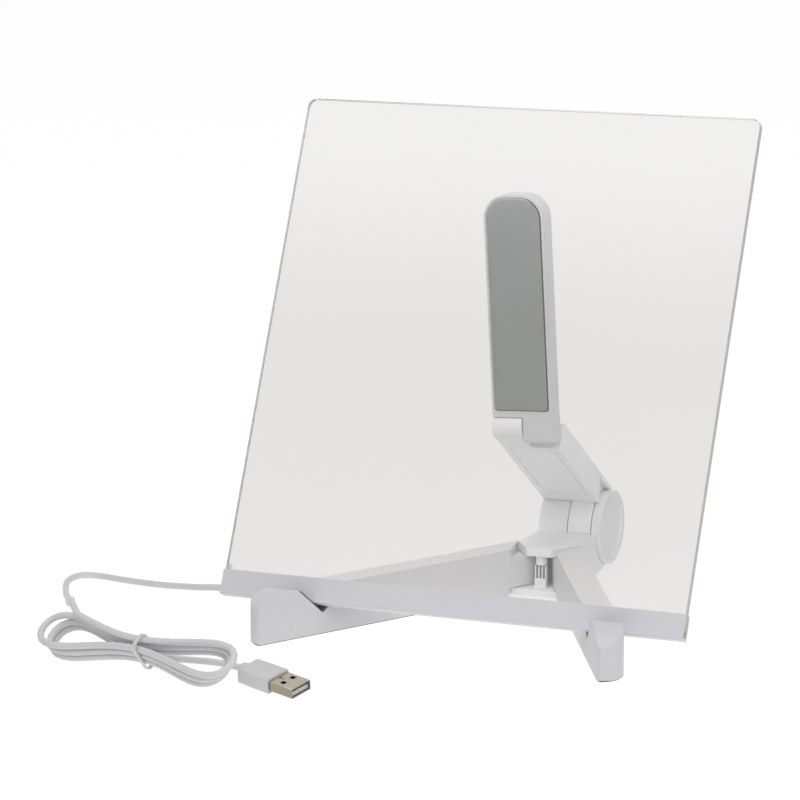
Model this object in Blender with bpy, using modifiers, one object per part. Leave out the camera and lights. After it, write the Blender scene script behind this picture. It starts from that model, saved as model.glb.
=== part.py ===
"""LED writing board.

An edge-lit clear acrylic sheet stands in a slim white light channel, held by a folding easel
stand. Lengths are in metres, +Z is up and the board faces -Y. The stand is laid out from the
line of its leg pivots, and the whole is then moved so that the origin is the middle of the
footprint, on the table. The board rests a little to the left of the stand's middle.
"""

import math

import bmesh
import bpy
from mathutils import Matrix, Vector

MM = 0.001

# Clearances and overruns
FIT_GAP = 0.3 * MM
RUN_GAP = 0.4 * MM
OVERRUN = 3.0 * MM
WELD = 0.005 * MM

# Numbers of steps
ROUND_STEPS = 48
SMALL_ROUND_STEPS = 20
FILLET_STEPS = 5

# Acrylic sheet
SHEET_WIDTH = 221.0 * MM
SHEET_THICKNESS = 3.8 * MM
SHEET_CORNER_RADIUS = 4.0 * MM
SHEET_STEP_LENGTH = 9.2 * MM
BOARD_HEIGHT = 238.0 * MM
BOARD_LEAN = math.radians(24.74)
BOARD_SIDE_SHIFT = 2.3 * MM

# Light channel and what it holds
CHANNEL_OVERHANG = 0.4 * MM
CHANNEL_HEIGHT = 11.6 * MM
CHANNEL_WALL = 0.8 * MM
CHANNEL_FLOOR = 1.2 * MM
CHANNEL_CORNER_RADIUS = 0.6 * MM
STRIP_WIDTH = 3.6 * MM
STRIP_BOARD_THICKNESS = 0.8 * MM
STRIP_END_MARGIN = 2.4 * MM
LIGHT_COUNT = 24
LIGHT_HEIGHT = 1.0 * MM
LIGHT_LENGTH = 3.5 * MM
TERMINAL_LENGTH = 3.0 * MM
TERMINAL_HEIGHT = 1.8 * MM
CORD_DIAMETER = 3.0 * MM
CORD_ENTRY = 6.7 * MM

# Legs
LEG_SWING = math.radians(27.3)
LEG_WIDTH = 12.8 * MM
LEG_GAP_CLOSED = 6.4 * MM
LEG_TOP = 22.1 * MM
LEG_UNDERSIDE = 0.5 * MM
LEG_REACH = 166.0 * MM
LEG_STEP_REACH = 17.2 * MM
LEG_EDGE_RADIUS = 0.8 * MM
FOOT_OUTER_RADIUS = 10.5 * MM
FOOT_INNER_RADIUS = 2.1 * MM
FOOT_FACE_TOP = 14.3 * MM
FOOT_SLOPE_LENGTH = 17.5 * MM
SOLE_INSET = 0.8 * MM
SOLE_THICKNESS = 1.0 * MM
NOTCH_REACH = 117.7 * MM
NOTCH_FLOOR = 9.5 * MM
NOTCH_ROUND = 1.5 * MM
LINING_THICKNESS = 0.5 * MM
LINING_INSET = 0.4 * MM
LINING_DROP = 0.5 * MM
PIN_DIAMETER = 5.0 * MM
PIN_SEAT = 1.4 * MM

# Hub
HUB_WIDTH = 29.0 * MM
HUB_TOP = 22.3 * MM
HUB_PLATE_THICKNESS = 3.9 * MM
HUB_NOSE_REACH = 10.8 * MM
HUB_NOSE_WIDTH = 12.0 * MM
HUB_SIDE_START = 0.2 * MM
HUB_CORNER_RADIUS = 1.0 * MM
HUB_SIDE_RADIUS = 3.8 * MM
HUB_BLOCK_FRONT = 7.1 * MM
HUB_BLOCK_REAR = 41.4 * MM
HUB_BLOCK_LIFT = 4.4 * MM
HUB_BLOCK_SLOPE = 1.0 * MM
HUB_SKIRT = 1.2 * MM
BASE_TOP = 3.4 * MM
BASE_NOSE_REACH = 15.4 * MM
BASE_CORNER_RADIUS = 3.0 * MM
BASE_REAR = 15.0 * MM
BASE_NECK = 0.7 * MM
FOOT_PAD_INSET = 2.4 * MM
SILL_WIDTH = 5.6 * MM
SILL_REACH = 8.6 * MM
SILL_THICKNESS = 1.0 * MM
SILL_TOP = 7.5 * MM
RIB_COUNT = 4
RIB_THICKNESS = 0.6 * MM
RIB_DEPTH = 2.2 * MM
RIB_TOP = 13.5 * MM
BOSS_DIAMETER = 5.6 * MM
BOSS_BOTTOM = 14.0 * MM
BOSS_REACH = 6.5 * MM

# Knuckle
KNUCKLE_REACH = 45.1 * MM
KNUCKLE_HEIGHT = 22.7 * MM
KNUCKLE_RADIUS = 17.8 * MM
AXLE_DIAMETER = 8.0 * MM
AXLE_LEFT_LENGTH = 11.2 * MM
AXLE_RIGHT_LENGTH = 7.0 * MM
CAP_THICKNESS = 4.5 * MM
CAP_RIM = 2.4 * MM
CAP_DISH = 0.9 * MM
CAP_DISH_RADIUS = 0.5 * MM
CAP_SPIGOT_RADIUS = 6.0 * MM
CAP_SPIGOT_LENGTH = 1.8 * MM
LEFT_DISH = 0.8 * MM
KNUCKLE_RING_RADIUS = 9.0 * MM
KNUCKLE_RING_THICKNESS = 1.8 * MM

# Lower arm, measured from the knuckle: along the arm, and out from its axis to the back
LOWER_ARM_PITCH = math.radians(33.2)
LOWER_ARM_WIDTH = 29.0 * MM
LOWER_ARM_LENGTH = 94.0 * MM
LOWER_ARM_UNDERSIDE = 5.1 * MM
LOWER_ARM_STEP_WIDTH = 2.9 * MM
LOWER_ARM_STEP_FRONT = 18.5 * MM
LOWER_ARM_STEP_BACK = 27.0 * MM
LOWER_ARM_SKIN = 2.0 * MM
LOWER_ARM_SKIN_END = 6.0 * MM
ELBOW_SHOULDER = 10.0 * MM
ELBOW_RADIUS = 6.6 * MM
ELBOW_RUN_GAP = 0.7 * MM
ELBOW_ROLL = math.radians(2.7)
ELBOW_PIN_DIAMETER = 4.4 * MM
ELBOW_PIN_LENGTH = 25.0 * MM
ELBOW_RING_RADIUS = 4.8 * MM
ELBOW_RING_THICKNESS = 1.2 * MM
LOWER_COVER_START = 28.0 * MM
LOWER_COVER_LENGTH = 54.0 * MM

# Upper arm, measured from the elbow
UPPER_ARM_WIDTH = 29.0 * MM
UPPER_ARM_THICKNESS = 10.6 * MM
UPPER_ARM_LENGTH = 108.1 * MM
UPPER_ARM_HEEL = 7.0 * MM
UPPER_ARM_CORNER_RADIUS = 11.0 * MM
UPPER_ARM_HEEL_FRONT_RADIUS = 1.6 * MM
UPPER_ARM_HEEL_BACK_RADIUS = 4.0 * MM
UPPER_ARM_EDGE_RADIUS = 1.0 * MM
UPPER_COVER_START = 14.0 * MM
UPPER_COVER_LENGTH = 84.0 * MM
PAD_START = 8.0 * MM
PAD_RIM = 1.1 * MM
PAD_THICKNESS = 1.8 * MM
PAD_PROUD = 0.8 * MM
PAD_BOTTOM_RADIUS = 1.5 * MM

# Cover panels and the cells behind them
COVER_THICKNESS = 1.4 * MM
COVER_MARGIN = 3.2 * MM
COVER_CORNER_RADIUS = 3.0 * MM
COVER_LEDGE = 1.6 * MM
CELL_RIB = 1.6 * MM
CELL_FLOOR = 2.2 * MM
CELL_CORNER_RADIUS = 1.0 * MM

# Plug, from the lowest corner of its nose
PLUG_NOSE = (-28.8 * MM, -226.9 * MM, 0.1 * MM)
PLUG_YAW = math.radians(-16.3)
PLUG_PITCH = math.radians(6.7)
PLUG_ROLL = math.radians(10.3)
SHELL_WIDTH = 12.0 * MM
SHELL_HEIGHT = 4.5 * MM
SHELL_LENGTH = 13.0 * MM
SHELL_HIDDEN = 5.0 * MM
SHELL_WALL = 0.4 * MM
SHELL_CORNER_RADIUS = 0.5 * MM
WINDOW_LENGTH = 2.3 * MM
WINDOW_WIDTH = 2.3 * MM
WINDOW_SPACING = 6.0 * MM
WINDOW_SETBACK = 7.2 * MM
LATCH_SETBACK = 11.4 * MM
LATCH_SIZE = 0.9 * MM
TONGUE_THICKNESS = 1.8 * MM
TONGUE_SETBACK = 0.9 * MM
CONTACT_COUNT = 4
CONTACT_WIDTH = 1.2 * MM
CONTACT_RISE = 0.2 * MM
CONTACT_SETBACK = 1.2 * MM
OVERMOULD_WIDTH = 14.0 * MM
OVERMOULD_HEIGHT = 7.0 * MM
OVERMOULD_LENGTH = 17.0 * MM
OVERMOULD_RADIUS = 1.4 * MM
OVERMOULD_DEPTH = 0.5 * MM
PLUG_NECK_DIAMETER = 5.5 * MM
PLUG_NECK_LENGTH = 3.5 * MM

# Cord: the hank, about its middle
TURN_COUNT = 3
TURN_POINTS = 24
HANK_X = -108.5 * MM
HANK_Y = -214.9 * MM
HANK_HALF_LENGTH = 60.0 * MM
HANK_END_HALF_HEIGHT = 8.5 * MM
HANK_WAIST_HALF_HEIGHT = 1.95 * MM
HANK_STEP = 3.6 * MM
HANK_YAW = math.radians(-18.0)
HANK_TILT = math.radians(38.0)
HANK_LENGTH_SHARES = (1.0, 0.93, 0.87)
HANK_START_SHARE = -0.1
HANK_CLIMB_SHARE = 0.24
TABLE_GAP = 0.1 * MM
TAIL_POINTS = 14
TIE_THICKNESS = 0.8 * MM
TIE_WIDTH = 1.6 * MM
TIE_SLACK = 0.5 * MM
TIE_SHIFT = 6.0 * MM

# Cord: the free lead, from the channel to the hank, as points on the table's frame
LEAD_STRAIGHT = 4.0 * MM
LEAD_POINTS = (
    (-125.0 * MM, -115.0 * MM, 15.2 * MM),
    (-140.2 * MM, -103.2 * MM, 11.6 * MM),
    (-158.0 * MM, -89.2 * MM, 7.6 * MM),
    (-175.5 * MM, -76.4 * MM, 4.4 * MM),
    (-192.2 * MM, -66.2 * MM, 2.2 * MM),
    (-204.8 * MM, -61.6 * MM, 1.6 * MM),
    (-213.0 * MM, -62.6 * MM, 1.6 * MM),
    (-215.8 * MM, -69.0 * MM, 1.6 * MM),
    (-213.4 * MM, -80.3 * MM, 1.6 * MM),
    (-205.2 * MM, -96.8 * MM, 1.7 * MM),
    (-197.0 * MM, -110.2 * MM, 2.4 * MM),
    (-187.5 * MM, -126.9 * MM, 4.6 * MM),
    (-178.0 * MM, -142.9 * MM, 9.0 * MM),
    (-169.0 * MM, -158.9 * MM, 14.6 * MM),
    (-161.0 * MM, -174.9 * MM, 19.4 * MM),
    (-153.5 * MM, -187.9 * MM, 21.6 * MM),
)
LEAD_STEPS = 5


# Sizes that follow from those above

CHANNEL_DEPTH = SHEET_THICKNESS + 2 * (FIT_GAP + CHANNEL_WALL)
CHANNEL_LENGTH = SHEET_WIDTH + 2 * CHANNEL_OVERHANG
CORD_RADIUS = CORD_DIAMETER / 2
CORD_HEIGHT = CHANNEL_FLOOR + FIT_GAP + CORD_RADIUS
PIVOT_X = (LEG_WIDTH + LEG_GAP_CLOSED) / 2
PIN_RADIUS = PIN_DIAMETER / 2
HUB_UNDERSIDE = HUB_TOP - HUB_PLATE_THICKNESS
LUG_TOP = HUB_UNDERSIDE - RUN_GAP
LUG_UNDERSIDE = BASE_TOP + RUN_GAP
SEAM = RUN_GAP / 2
AXLE_RADIUS = AXLE_DIAMETER / 2
ELBOW_AXIS_OUT = (LOWER_ARM_UNDERSIDE + KNUCKLE_RADIUS) / 2
ELBOW_PIN_RADIUS = ELBOW_PIN_DIAMETER / 2
BARREL_RIGHT = LOWER_ARM_WIDTH / 2 - LOWER_ARM_STEP_WIDTH

# The channel's lower edges rest in the lined notch
LINING_FLOOR = NOTCH_FLOOR + (LINING_THICKNESS + FIT_GAP) * math.sqrt(2)
CHANNEL_FRONT_RISE = CHANNEL_DEPTH * (math.cos(BOARD_LEAN) + math.sin(BOARD_LEAN)) / 2
BOARD_Y = -NOTCH_REACH - CHANNEL_FRONT_RISE
BOARD_Z = LINING_FLOOR + CHANNEL_FRONT_RISE + FIT_GAP * math.sqrt(2)

# The elbow, and the upper arm's lean that lays its pad against the sheet
ELBOW_Y = (KNUCKLE_REACH - LOWER_ARM_LENGTH * math.cos(LOWER_ARM_PITCH)
           + ELBOW_AXIS_OUT * math.sin(LOWER_ARM_PITCH))
ELBOW_Z = (KNUCKLE_HEIGHT + LOWER_ARM_LENGTH * math.sin(LOWER_ARM_PITCH)
           + ELBOW_AXIS_OUT * math.cos(LOWER_ARM_PITCH))
PAD_END = UPPER_ARM_LENGTH - PAD_RIM - FIT_GAP
PAD_FRONT = UPPER_ARM_THICKNESS / 2 + PAD_PROUD
SHEET_BACK = CHANNEL_WALL + FIT_GAP + SHEET_THICKNESS
ELBOW_BEHIND = ((ELBOW_Y - BOARD_Y) * math.cos(BOARD_LEAN)
                - (ELBOW_Z - BOARD_Z) * math.sin(BOARD_LEAN) - SHEET_BACK - FIT_GAP)
UPPER_ARM_LEAN = (math.asin(ELBOW_BEHIND / math.hypot(PAD_END, PAD_FRONT))
                  - math.atan2(PAD_FRONT, PAD_END) - BOARD_LEAN)
ELBOW_FOLD = math.radians(90) - UPPER_ARM_LEAN - LOWER_ARM_PITCH

# Footprint, for the origin
FRONT_Y = -((LEG_REACH - FOOT_INNER_RADIUS) * math.cos(LEG_SWING)
            + (LEG_WIDTH / 2 - FOOT_INNER_RADIUS) * math.sin(LEG_SWING)
            + FOOT_INNER_RADIUS)
REAR_Y = KNUCKLE_REACH + KNUCKLE_RADIUS
STAND_SHIFT = -(FRONT_Y + REAR_Y) / 2


# Tools

def clear_scene():
    for thing in list(bpy.data.objects):
        bpy.data.objects.remove(thing, do_unlink=True)


def collection(name):
    group = bpy.data.collections.new(name)
    bpy.context.scene.collection.children.link(group)
    return group


def material(name, colour, roughness, metallic=0.0, alpha=1.0):
    made = bpy.data.materials.new(name)
    made.use_nodes = True
    shader = made.node_tree.nodes["Principled BSDF"]
    shader.inputs["Base Color"].default_value = (*colour, 1.0)
    shader.inputs["Roughness"].default_value = roughness
    shader.inputs["Metallic"].default_value = metallic
    shader.inputs["Alpha"].default_value = alpha
    return made


def empty(name, parent=None, location=(0, 0, 0), rotation=Matrix.Identity(4)):
    frame = bpy.data.objects.new(name, None)
    PARTS.objects.link(frame)
    frame.parent = parent
    frame.matrix_local = Matrix.Translation(location) @ rotation
    return frame


def turn(angle, axis):
    return Matrix.Rotation(angle, 4, axis)


def add(name, mesh, parent, group=None, look=None):
    thing = bpy.data.objects.new(name, mesh)
    (group or PARTS).objects.link(thing)
    thing.parent = parent
    if look is not None:
        mesh.materials.clear()
        mesh.materials.append(look)
    return thing


def piece(name, mesh, parent, look):
    thing = add(name, mesh, parent, PARTS, look)
    mesh.shade_smooth()
    mesh.set_sharp_from_angle(angle=math.radians(30))
    return thing


def combine(target, mesh, operation="DIFFERENCE", parent=None):
    """Boolean the mesh with the target; the helper stays as a hidden wire."""
    name = target.name + "_" + operation.lower()
    helper = add(name, mesh, parent or target.parent, CUTTERS)
    helper.display_type = "WIRE"
    helper.hide_render = True
    step = target.modifiers.new(operation.title(), "BOOLEAN")
    step.operation = operation
    step.object = helper
    return step


def arc(centre, radius, start, end, steps):
    points = []
    for step in range(steps + 1):
        angle = start + (end - start) * step / steps
        points.append((centre[0] + radius * math.cos(angle),
                       centre[1] + radius * math.sin(angle)))
    return points


def filleted(corners, steps=FILLET_STEPS):
    """Outline whose corners (u, v) or (u, v, radius) are rounded where a radius is given."""
    outline = []
    for index, corner in enumerate(corners):
        here = Vector(corner[:2])
        if len(corner) < 3:
            outline.append(tuple(here))
            continue
        radius = corner[2]
        back = (Vector(corners[index - 1][:2]) - here).normalized()
        ahead = (Vector(corners[(index + 1) % len(corners)][:2]) - here).normalized()
        half = back.angle(ahead) / 2
        centre = here + (back + ahead).normalized() * (radius / math.sin(half))
        first = here + back * (radius / math.tan(half)) - centre
        last = here + ahead * (radius / math.tan(half)) - centre
        start = math.atan2(first.y, first.x)
        sweep = math.atan2(last.y, last.x) - start
        sweep = (sweep + math.pi) % (2 * math.pi) - math.pi
        outline += arc(centre, radius, start, start + sweep, steps)
    return outline


PLANES = {
    "XY": lambda u, v, w: Vector((u, v, w)),
    "XZ": lambda u, v, w: Vector((u, w, v)),
    "YZ": lambda u, v, w: Vector((w, u, v)),
}


def finish(shape, name):
    bmesh.ops.remove_doubles(shape, verts=shape.verts, dist=WELD)
    bmesh.ops.recalc_face_normals(shape, faces=shape.faces)
    mesh = bpy.data.meshes.new(name)
    shape.to_mesh(mesh)
    shape.free()
    return mesh


def evaluated_mesh(holder):
    """The mesh of a curve or modified object; the object itself is removed."""
    PARTS.objects.link(holder)
    bpy.context.view_layer.update()
    graph = bpy.context.evaluated_depsgraph_get()
    mesh = bpy.data.meshes.new_from_object(holder.evaluated_get(graph))
    bpy.data.objects.remove(holder, do_unlink=True)
    return mesh


def prism(name, outline, plane, low, high):
    """A flat outline in a plane, extruded from low to high across it."""
    curve = bpy.data.curves.new(name, "CURVE")
    curve.dimensions = "2D"
    curve.fill_mode = "BOTH"
    curve.extrude = (high - low) / 2
    points = []
    for point in outline:
        if not points or math.dist(point, points[-1]) > WELD:
            points.append(point)
    if math.dist(points[0], points[-1]) <= WELD:
        points.pop()
    spline = curve.splines.new("POLY")
    spline.points.add(len(points) - 1)
    for target, (u, v) in zip(spline.points, points):
        target.co = (u, v, 0.0, 1.0)
    spline.use_cyclic_u = True
    flat = evaluated_mesh(bpy.data.objects.new(name, curve))
    shape = bmesh.new()
    shape.from_mesh(flat)
    place = PLANES[plane]
    middle = (low + high) / 2
    for vert in shape.verts:
        vert.co = place(vert.co.x, vert.co.y, vert.co.z + middle)
    return finish(shape, name)


def box(name, x, y, z):
    """A block between pairs of limits."""
    shape = bmesh.new()
    bmesh.ops.create_cube(shape, size=1.0)
    for vert in shape.verts:
        for axis, (low, high) in enumerate((x, y, z)):
            vert.co[axis] = high if vert.co[axis] > 0 else low
    return finish(shape, name)


def cylinder(name, radius, low, high, axis="X", centre=(0, 0, 0), steps=ROUND_STEPS):
    shape = bmesh.new()
    bmesh.ops.create_cone(shape, cap_ends=True, segments=steps, radius1=radius,
                          radius2=radius, depth=high - low)
    middle = (low + high) / 2
    for vert in shape.verts:
        u, v, w = vert.co.x, vert.co.y, vert.co.z + middle
        along = Vector((w, u, v)) if axis == "X" else Vector((u, v, w))
        vert.co = along + Vector(centre)
    return finish(shape, name)


def turned(name, profile, steps=ROUND_STEPS):
    """A closed profile of (radius, place along X) swept round the X axis."""
    mesh = bpy.data.meshes.new(name)
    verts = [(radius, 0.0, along) for radius, along in profile]
    edges = [(index, (index + 1) % len(verts)) for index in range(len(verts))]
    mesh.from_pydata(verts, edges, [])
    holder = bpy.data.objects.new(name, mesh)
    screw = holder.modifiers.new("Screw", "SCREW")
    screw.steps = steps
    screw.render_steps = steps
    screw.use_merge_vertices = True
    screw.merge_threshold = WELD
    swept = evaluated_mesh(holder)
    shape = bmesh.new()
    shape.from_mesh(swept)
    for vert in shape.verts:
        vert.co = Vector((vert.co.z, vert.co.x, vert.co.y))
    return finish(shape, name)


def smooth_path(points, steps):
    """A smooth curve through the points."""
    ends = [2 * points[0] - points[1]] + points + [2 * points[-1] - points[-2]]
    path = []
    for index in range(1, len(ends) - 2):
        before, here, ahead, after = ends[index - 1:index + 3]
        for step in range(steps):
            t = step / steps
            path.append((2 * here + (ahead - before) * t
                         + (2 * before - 5 * here + 4 * ahead - after) * t ** 2
                         + (3 * here - before - 3 * ahead + after) * t ** 3) / 2)
    return path + [points[-1]]


def tube(name, points, radius, resolution):
    curve = bpy.data.curves.new(name, "CURVE")
    curve.dimensions = "3D"
    curve.bevel_depth = radius
    curve.bevel_resolution = resolution
    curve.use_fill_caps = True
    spline = curve.splines.new("POLY")
    spline.points.add(len(points) - 1)
    for target, point in zip(spline.points, points):
        target.co = (*point, 1.0)
    drawn = evaluated_mesh(bpy.data.objects.new(name, curve))
    shape = bmesh.new()
    shape.from_mesh(drawn)
    return finish(shape, name)


# Board

def build_board(board, looks):
    half = CHANNEL_LENGTH / 2
    outline = filleted([
        (0, 0, CHANNEL_CORNER_RADIUS),
        (CHANNEL_DEPTH, 0, CHANNEL_CORNER_RADIUS),
        (CHANNEL_DEPTH, CHANNEL_HEIGHT),
        (CHANNEL_DEPTH - CHANNEL_WALL, CHANNEL_HEIGHT),
        (CHANNEL_DEPTH - CHANNEL_WALL, CHANNEL_FLOOR),
        (CHANNEL_WALL, CHANNEL_FLOOR),
        (CHANNEL_WALL, CHANNEL_HEIGHT),
        (0, CHANNEL_HEIGHT),
    ])
    piece("light_channel", prism("light_channel", outline, "YZ", -half, half), board,
          looks["white"])

    # The strip's circuit board with its lights standing on it, seen from the front
    strip_bottom = CHANNEL_FLOOR + FIT_GAP
    strip_top = strip_bottom + STRIP_BOARD_THICKNESS
    light_top = strip_top + LIGHT_HEIGHT
    left = -half + CORD_ENTRY + 2 * FIT_GAP + TERMINAL_LENGTH
    right = half - STRIP_END_MARGIN
    pitch = (right - left) / LIGHT_COUNT
    comb = [(right, strip_bottom), (left, strip_bottom), (left, strip_top)]
    for index in range(LIGHT_COUNT):
        centre = left + pitch * (index + 0.5)
        comb += [(centre - LIGHT_LENGTH / 2, strip_top), (centre - LIGHT_LENGTH / 2, light_top),
                 (centre + LIGHT_LENGTH / 2, light_top), (centre + LIGHT_LENGTH / 2, strip_top)]
    comb.append((right, strip_top))
    middle = CHANNEL_DEPTH / 2
    piece("light_strip", prism("light_strip", comb, "XZ", middle - STRIP_WIDTH / 2,
                               middle + STRIP_WIDTH / 2), board, looks["strip"])
    piece("wire_terminal", box("wire_terminal",
                               (-half + CORD_ENTRY + FIT_GAP, left - FIT_GAP),
                               (middle - STRIP_WIDTH / 2, middle + STRIP_WIDTH / 2),
                               (strip_bottom, strip_bottom + TERMINAL_HEIGHT)), board,
          looks["strip"])

    # The sheet stands over the lights and steps up over the cord
    bottom = light_top + RUN_GAP
    step = CORD_HEIGHT + CORD_RADIUS + FIT_GAP
    edge = SHEET_WIDTH / 2
    outline = filleted([
        (-edge, step),
        (-edge + SHEET_STEP_LENGTH, step),
        (-edge + SHEET_STEP_LENGTH, bottom),
        (edge, bottom),
        (edge, BOARD_HEIGHT, SHEET_CORNER_RADIUS),
        (-edge, BOARD_HEIGHT, SHEET_CORNER_RADIUS),
    ])
    front = CHANNEL_WALL + FIT_GAP
    piece("acrylic_sheet", prism("acrylic_sheet", outline, "XZ", front,
                                 front + SHEET_THICKNESS), board, looks["acrylic"])


# Legs

def side_line():
    """Where the full-height part of a leg stops outside the hub's top plate.

    Returns the outward direction across the plate's chamfer and the distance from the pivot
    that clears the plate in every position of the leg.
    """
    nose = Vector((HUB_NOSE_WIDTH / 2, -HUB_NOSE_REACH))
    side = Vector((HUB_WIDTH / 2, HUB_SIDE_START))
    pivot = Vector((PIVOT_X, 0.0))
    chamfer = (side - nose).normalized()
    outward = Vector((chamfer.y, -chamfer.x))
    opened = Matrix.Rotation(-LEG_SWING, 2) @ (side - pivot)
    reach = max(outward.dot(nose - pivot), outward.dot(opened))
    return outward, reach + RUN_GAP


def leg_plan(side, inset):
    """Outline of a leg seen from above, its pivot at the origin and its foot forward."""
    half = LEG_WIDTH / 2 - inset
    return filleted([
        (-side * half, half, half),
        (side * half, half, half),
        (side * half, -LEG_REACH + inset, FOOT_OUTER_RADIUS - inset),
        (-side * half, -LEG_REACH + inset, FOOT_INNER_RADIUS - inset),
    ], steps=2 * FILLET_STEPS)


def sole_plan(side, inset):
    """The same outline, stopping square at the step in front of the hub."""
    half = LEG_WIDTH / 2 - inset
    rear = -LEG_STEP_REACH - inset
    front = -LEG_REACH + inset
    return filleted([
        (-side * half, rear),
        (side * half, rear),
        (side * half, front, FOOT_OUTER_RADIUS - inset),
        (-side * half, front, FOOT_INNER_RADIUS - inset),
    ], steps=2 * FILLET_STEPS)


def build_leg(name, side, frame, stand, looks):
    shell = piece(name + "_leg", prism(name, leg_plan(side, 0), "XY", 0, LEG_TOP + OVERRUN),
                  frame, looks["grey"])
    rear = LEG_WIDTH / 2 + OVERRUN
    profile = [(rear, LEG_TOP), (rear, LUG_UNDERSIDE), (-LEG_STEP_REACH, LUG_UNDERSIDE),
               (-LEG_STEP_REACH, LEG_UNDERSIDE)]
    profile += arc((-LEG_REACH + LEG_EDGE_RADIUS, LEG_UNDERSIDE + LEG_EDGE_RADIUS),
                   LEG_EDGE_RADIUS, -math.pi / 2, -math.pi, FILLET_STEPS)
    slope_rise = LEG_TOP - FOOT_FACE_TOP
    for step in range(2 * FILLET_STEPS + 1):
        angle = math.pi / 2 * step / (2 * FILLET_STEPS)
        profile.append((-LEG_REACH + FOOT_SLOPE_LENGTH * (1 - math.cos(angle)),
                        FOOT_FACE_TOP + slope_rise * math.sin(angle)))
    combine(shell, prism(name, profile, "YZ", -LEG_WIDTH, LEG_WIDTH), "INTERSECT")

    # The shoulder beside the hub's top plate
    outward, reach = side_line()
    along = Vector((-outward.y, outward.x))
    far = 2 * LEG_WIDTH
    corners = [outward * reach + along * far, outward * reach - along * far,
               -outward * far - along * far, -outward * far + along * far]
    outline = [(side * corner.x, corner.y) for corner in corners]
    combine(shell, prism(name, outline, "XY", LUG_TOP, LEG_TOP + OVERRUN))
    combine(shell, cylinder(name, PIN_RADIUS + RUN_GAP, LUG_UNDERSIDE - OVERRUN,
                            LUG_TOP + OVERRUN, "Z", steps=SMALL_ROUND_STEPS * 2))

    # The notch lies square to the board, so it is cut in the stand's frame
    depth = LEG_TOP + OVERRUN - NOTCH_FLOOR
    notch = filleted([(-NOTCH_REACH, NOTCH_FLOOR, NOTCH_ROUND),
                      (-NOTCH_REACH + depth, NOTCH_FLOOR + depth),
                      (-NOTCH_REACH - depth, NOTCH_FLOOR + depth)])
    span = LEG_REACH
    combine(shell, prism(name, notch, "YZ", -span, span), parent=stand)

    # Lining: a folded strip, trimmed to the leg
    top = LEG_TOP - LINING_DROP
    low = NOTCH_FLOOR + FIT_GAP * math.sqrt(2)
    high = low + LINING_THICKNESS * math.sqrt(2)
    outer = NOTCH_ROUND - FIT_GAP
    inner = outer - LINING_THICKNESS
    strip = filleted([(-NOTCH_REACH, low, outer), (-NOTCH_REACH + top - low, top),
                      (-NOTCH_REACH + top - high, top), (-NOTCH_REACH, high, inner),
                      (-NOTCH_REACH - top + high, top), (-NOTCH_REACH - top + low, top)])
    lining = piece(name + "_notch_lining", prism(name, strip, "YZ", -span, span), stand,
                   looks["rubber"])
    combine(lining, prism(name, leg_plan(side, LINING_INSET), "XY", 0, LEG_TOP),
            "INTERSECT", frame)

    # Sole, let into the underside from the step to the foot
    combine(shell, prism(name, sole_plan(side, SOLE_INSET - FIT_GAP), "XY", -OVERRUN,
                         SOLE_THICKNESS + FIT_GAP))
    piece(name + "_sole", prism(name, sole_plan(side, SOLE_INSET), "XY", 0, SOLE_THICKNESS),
          frame, looks["rubber"])


# Hub

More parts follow.
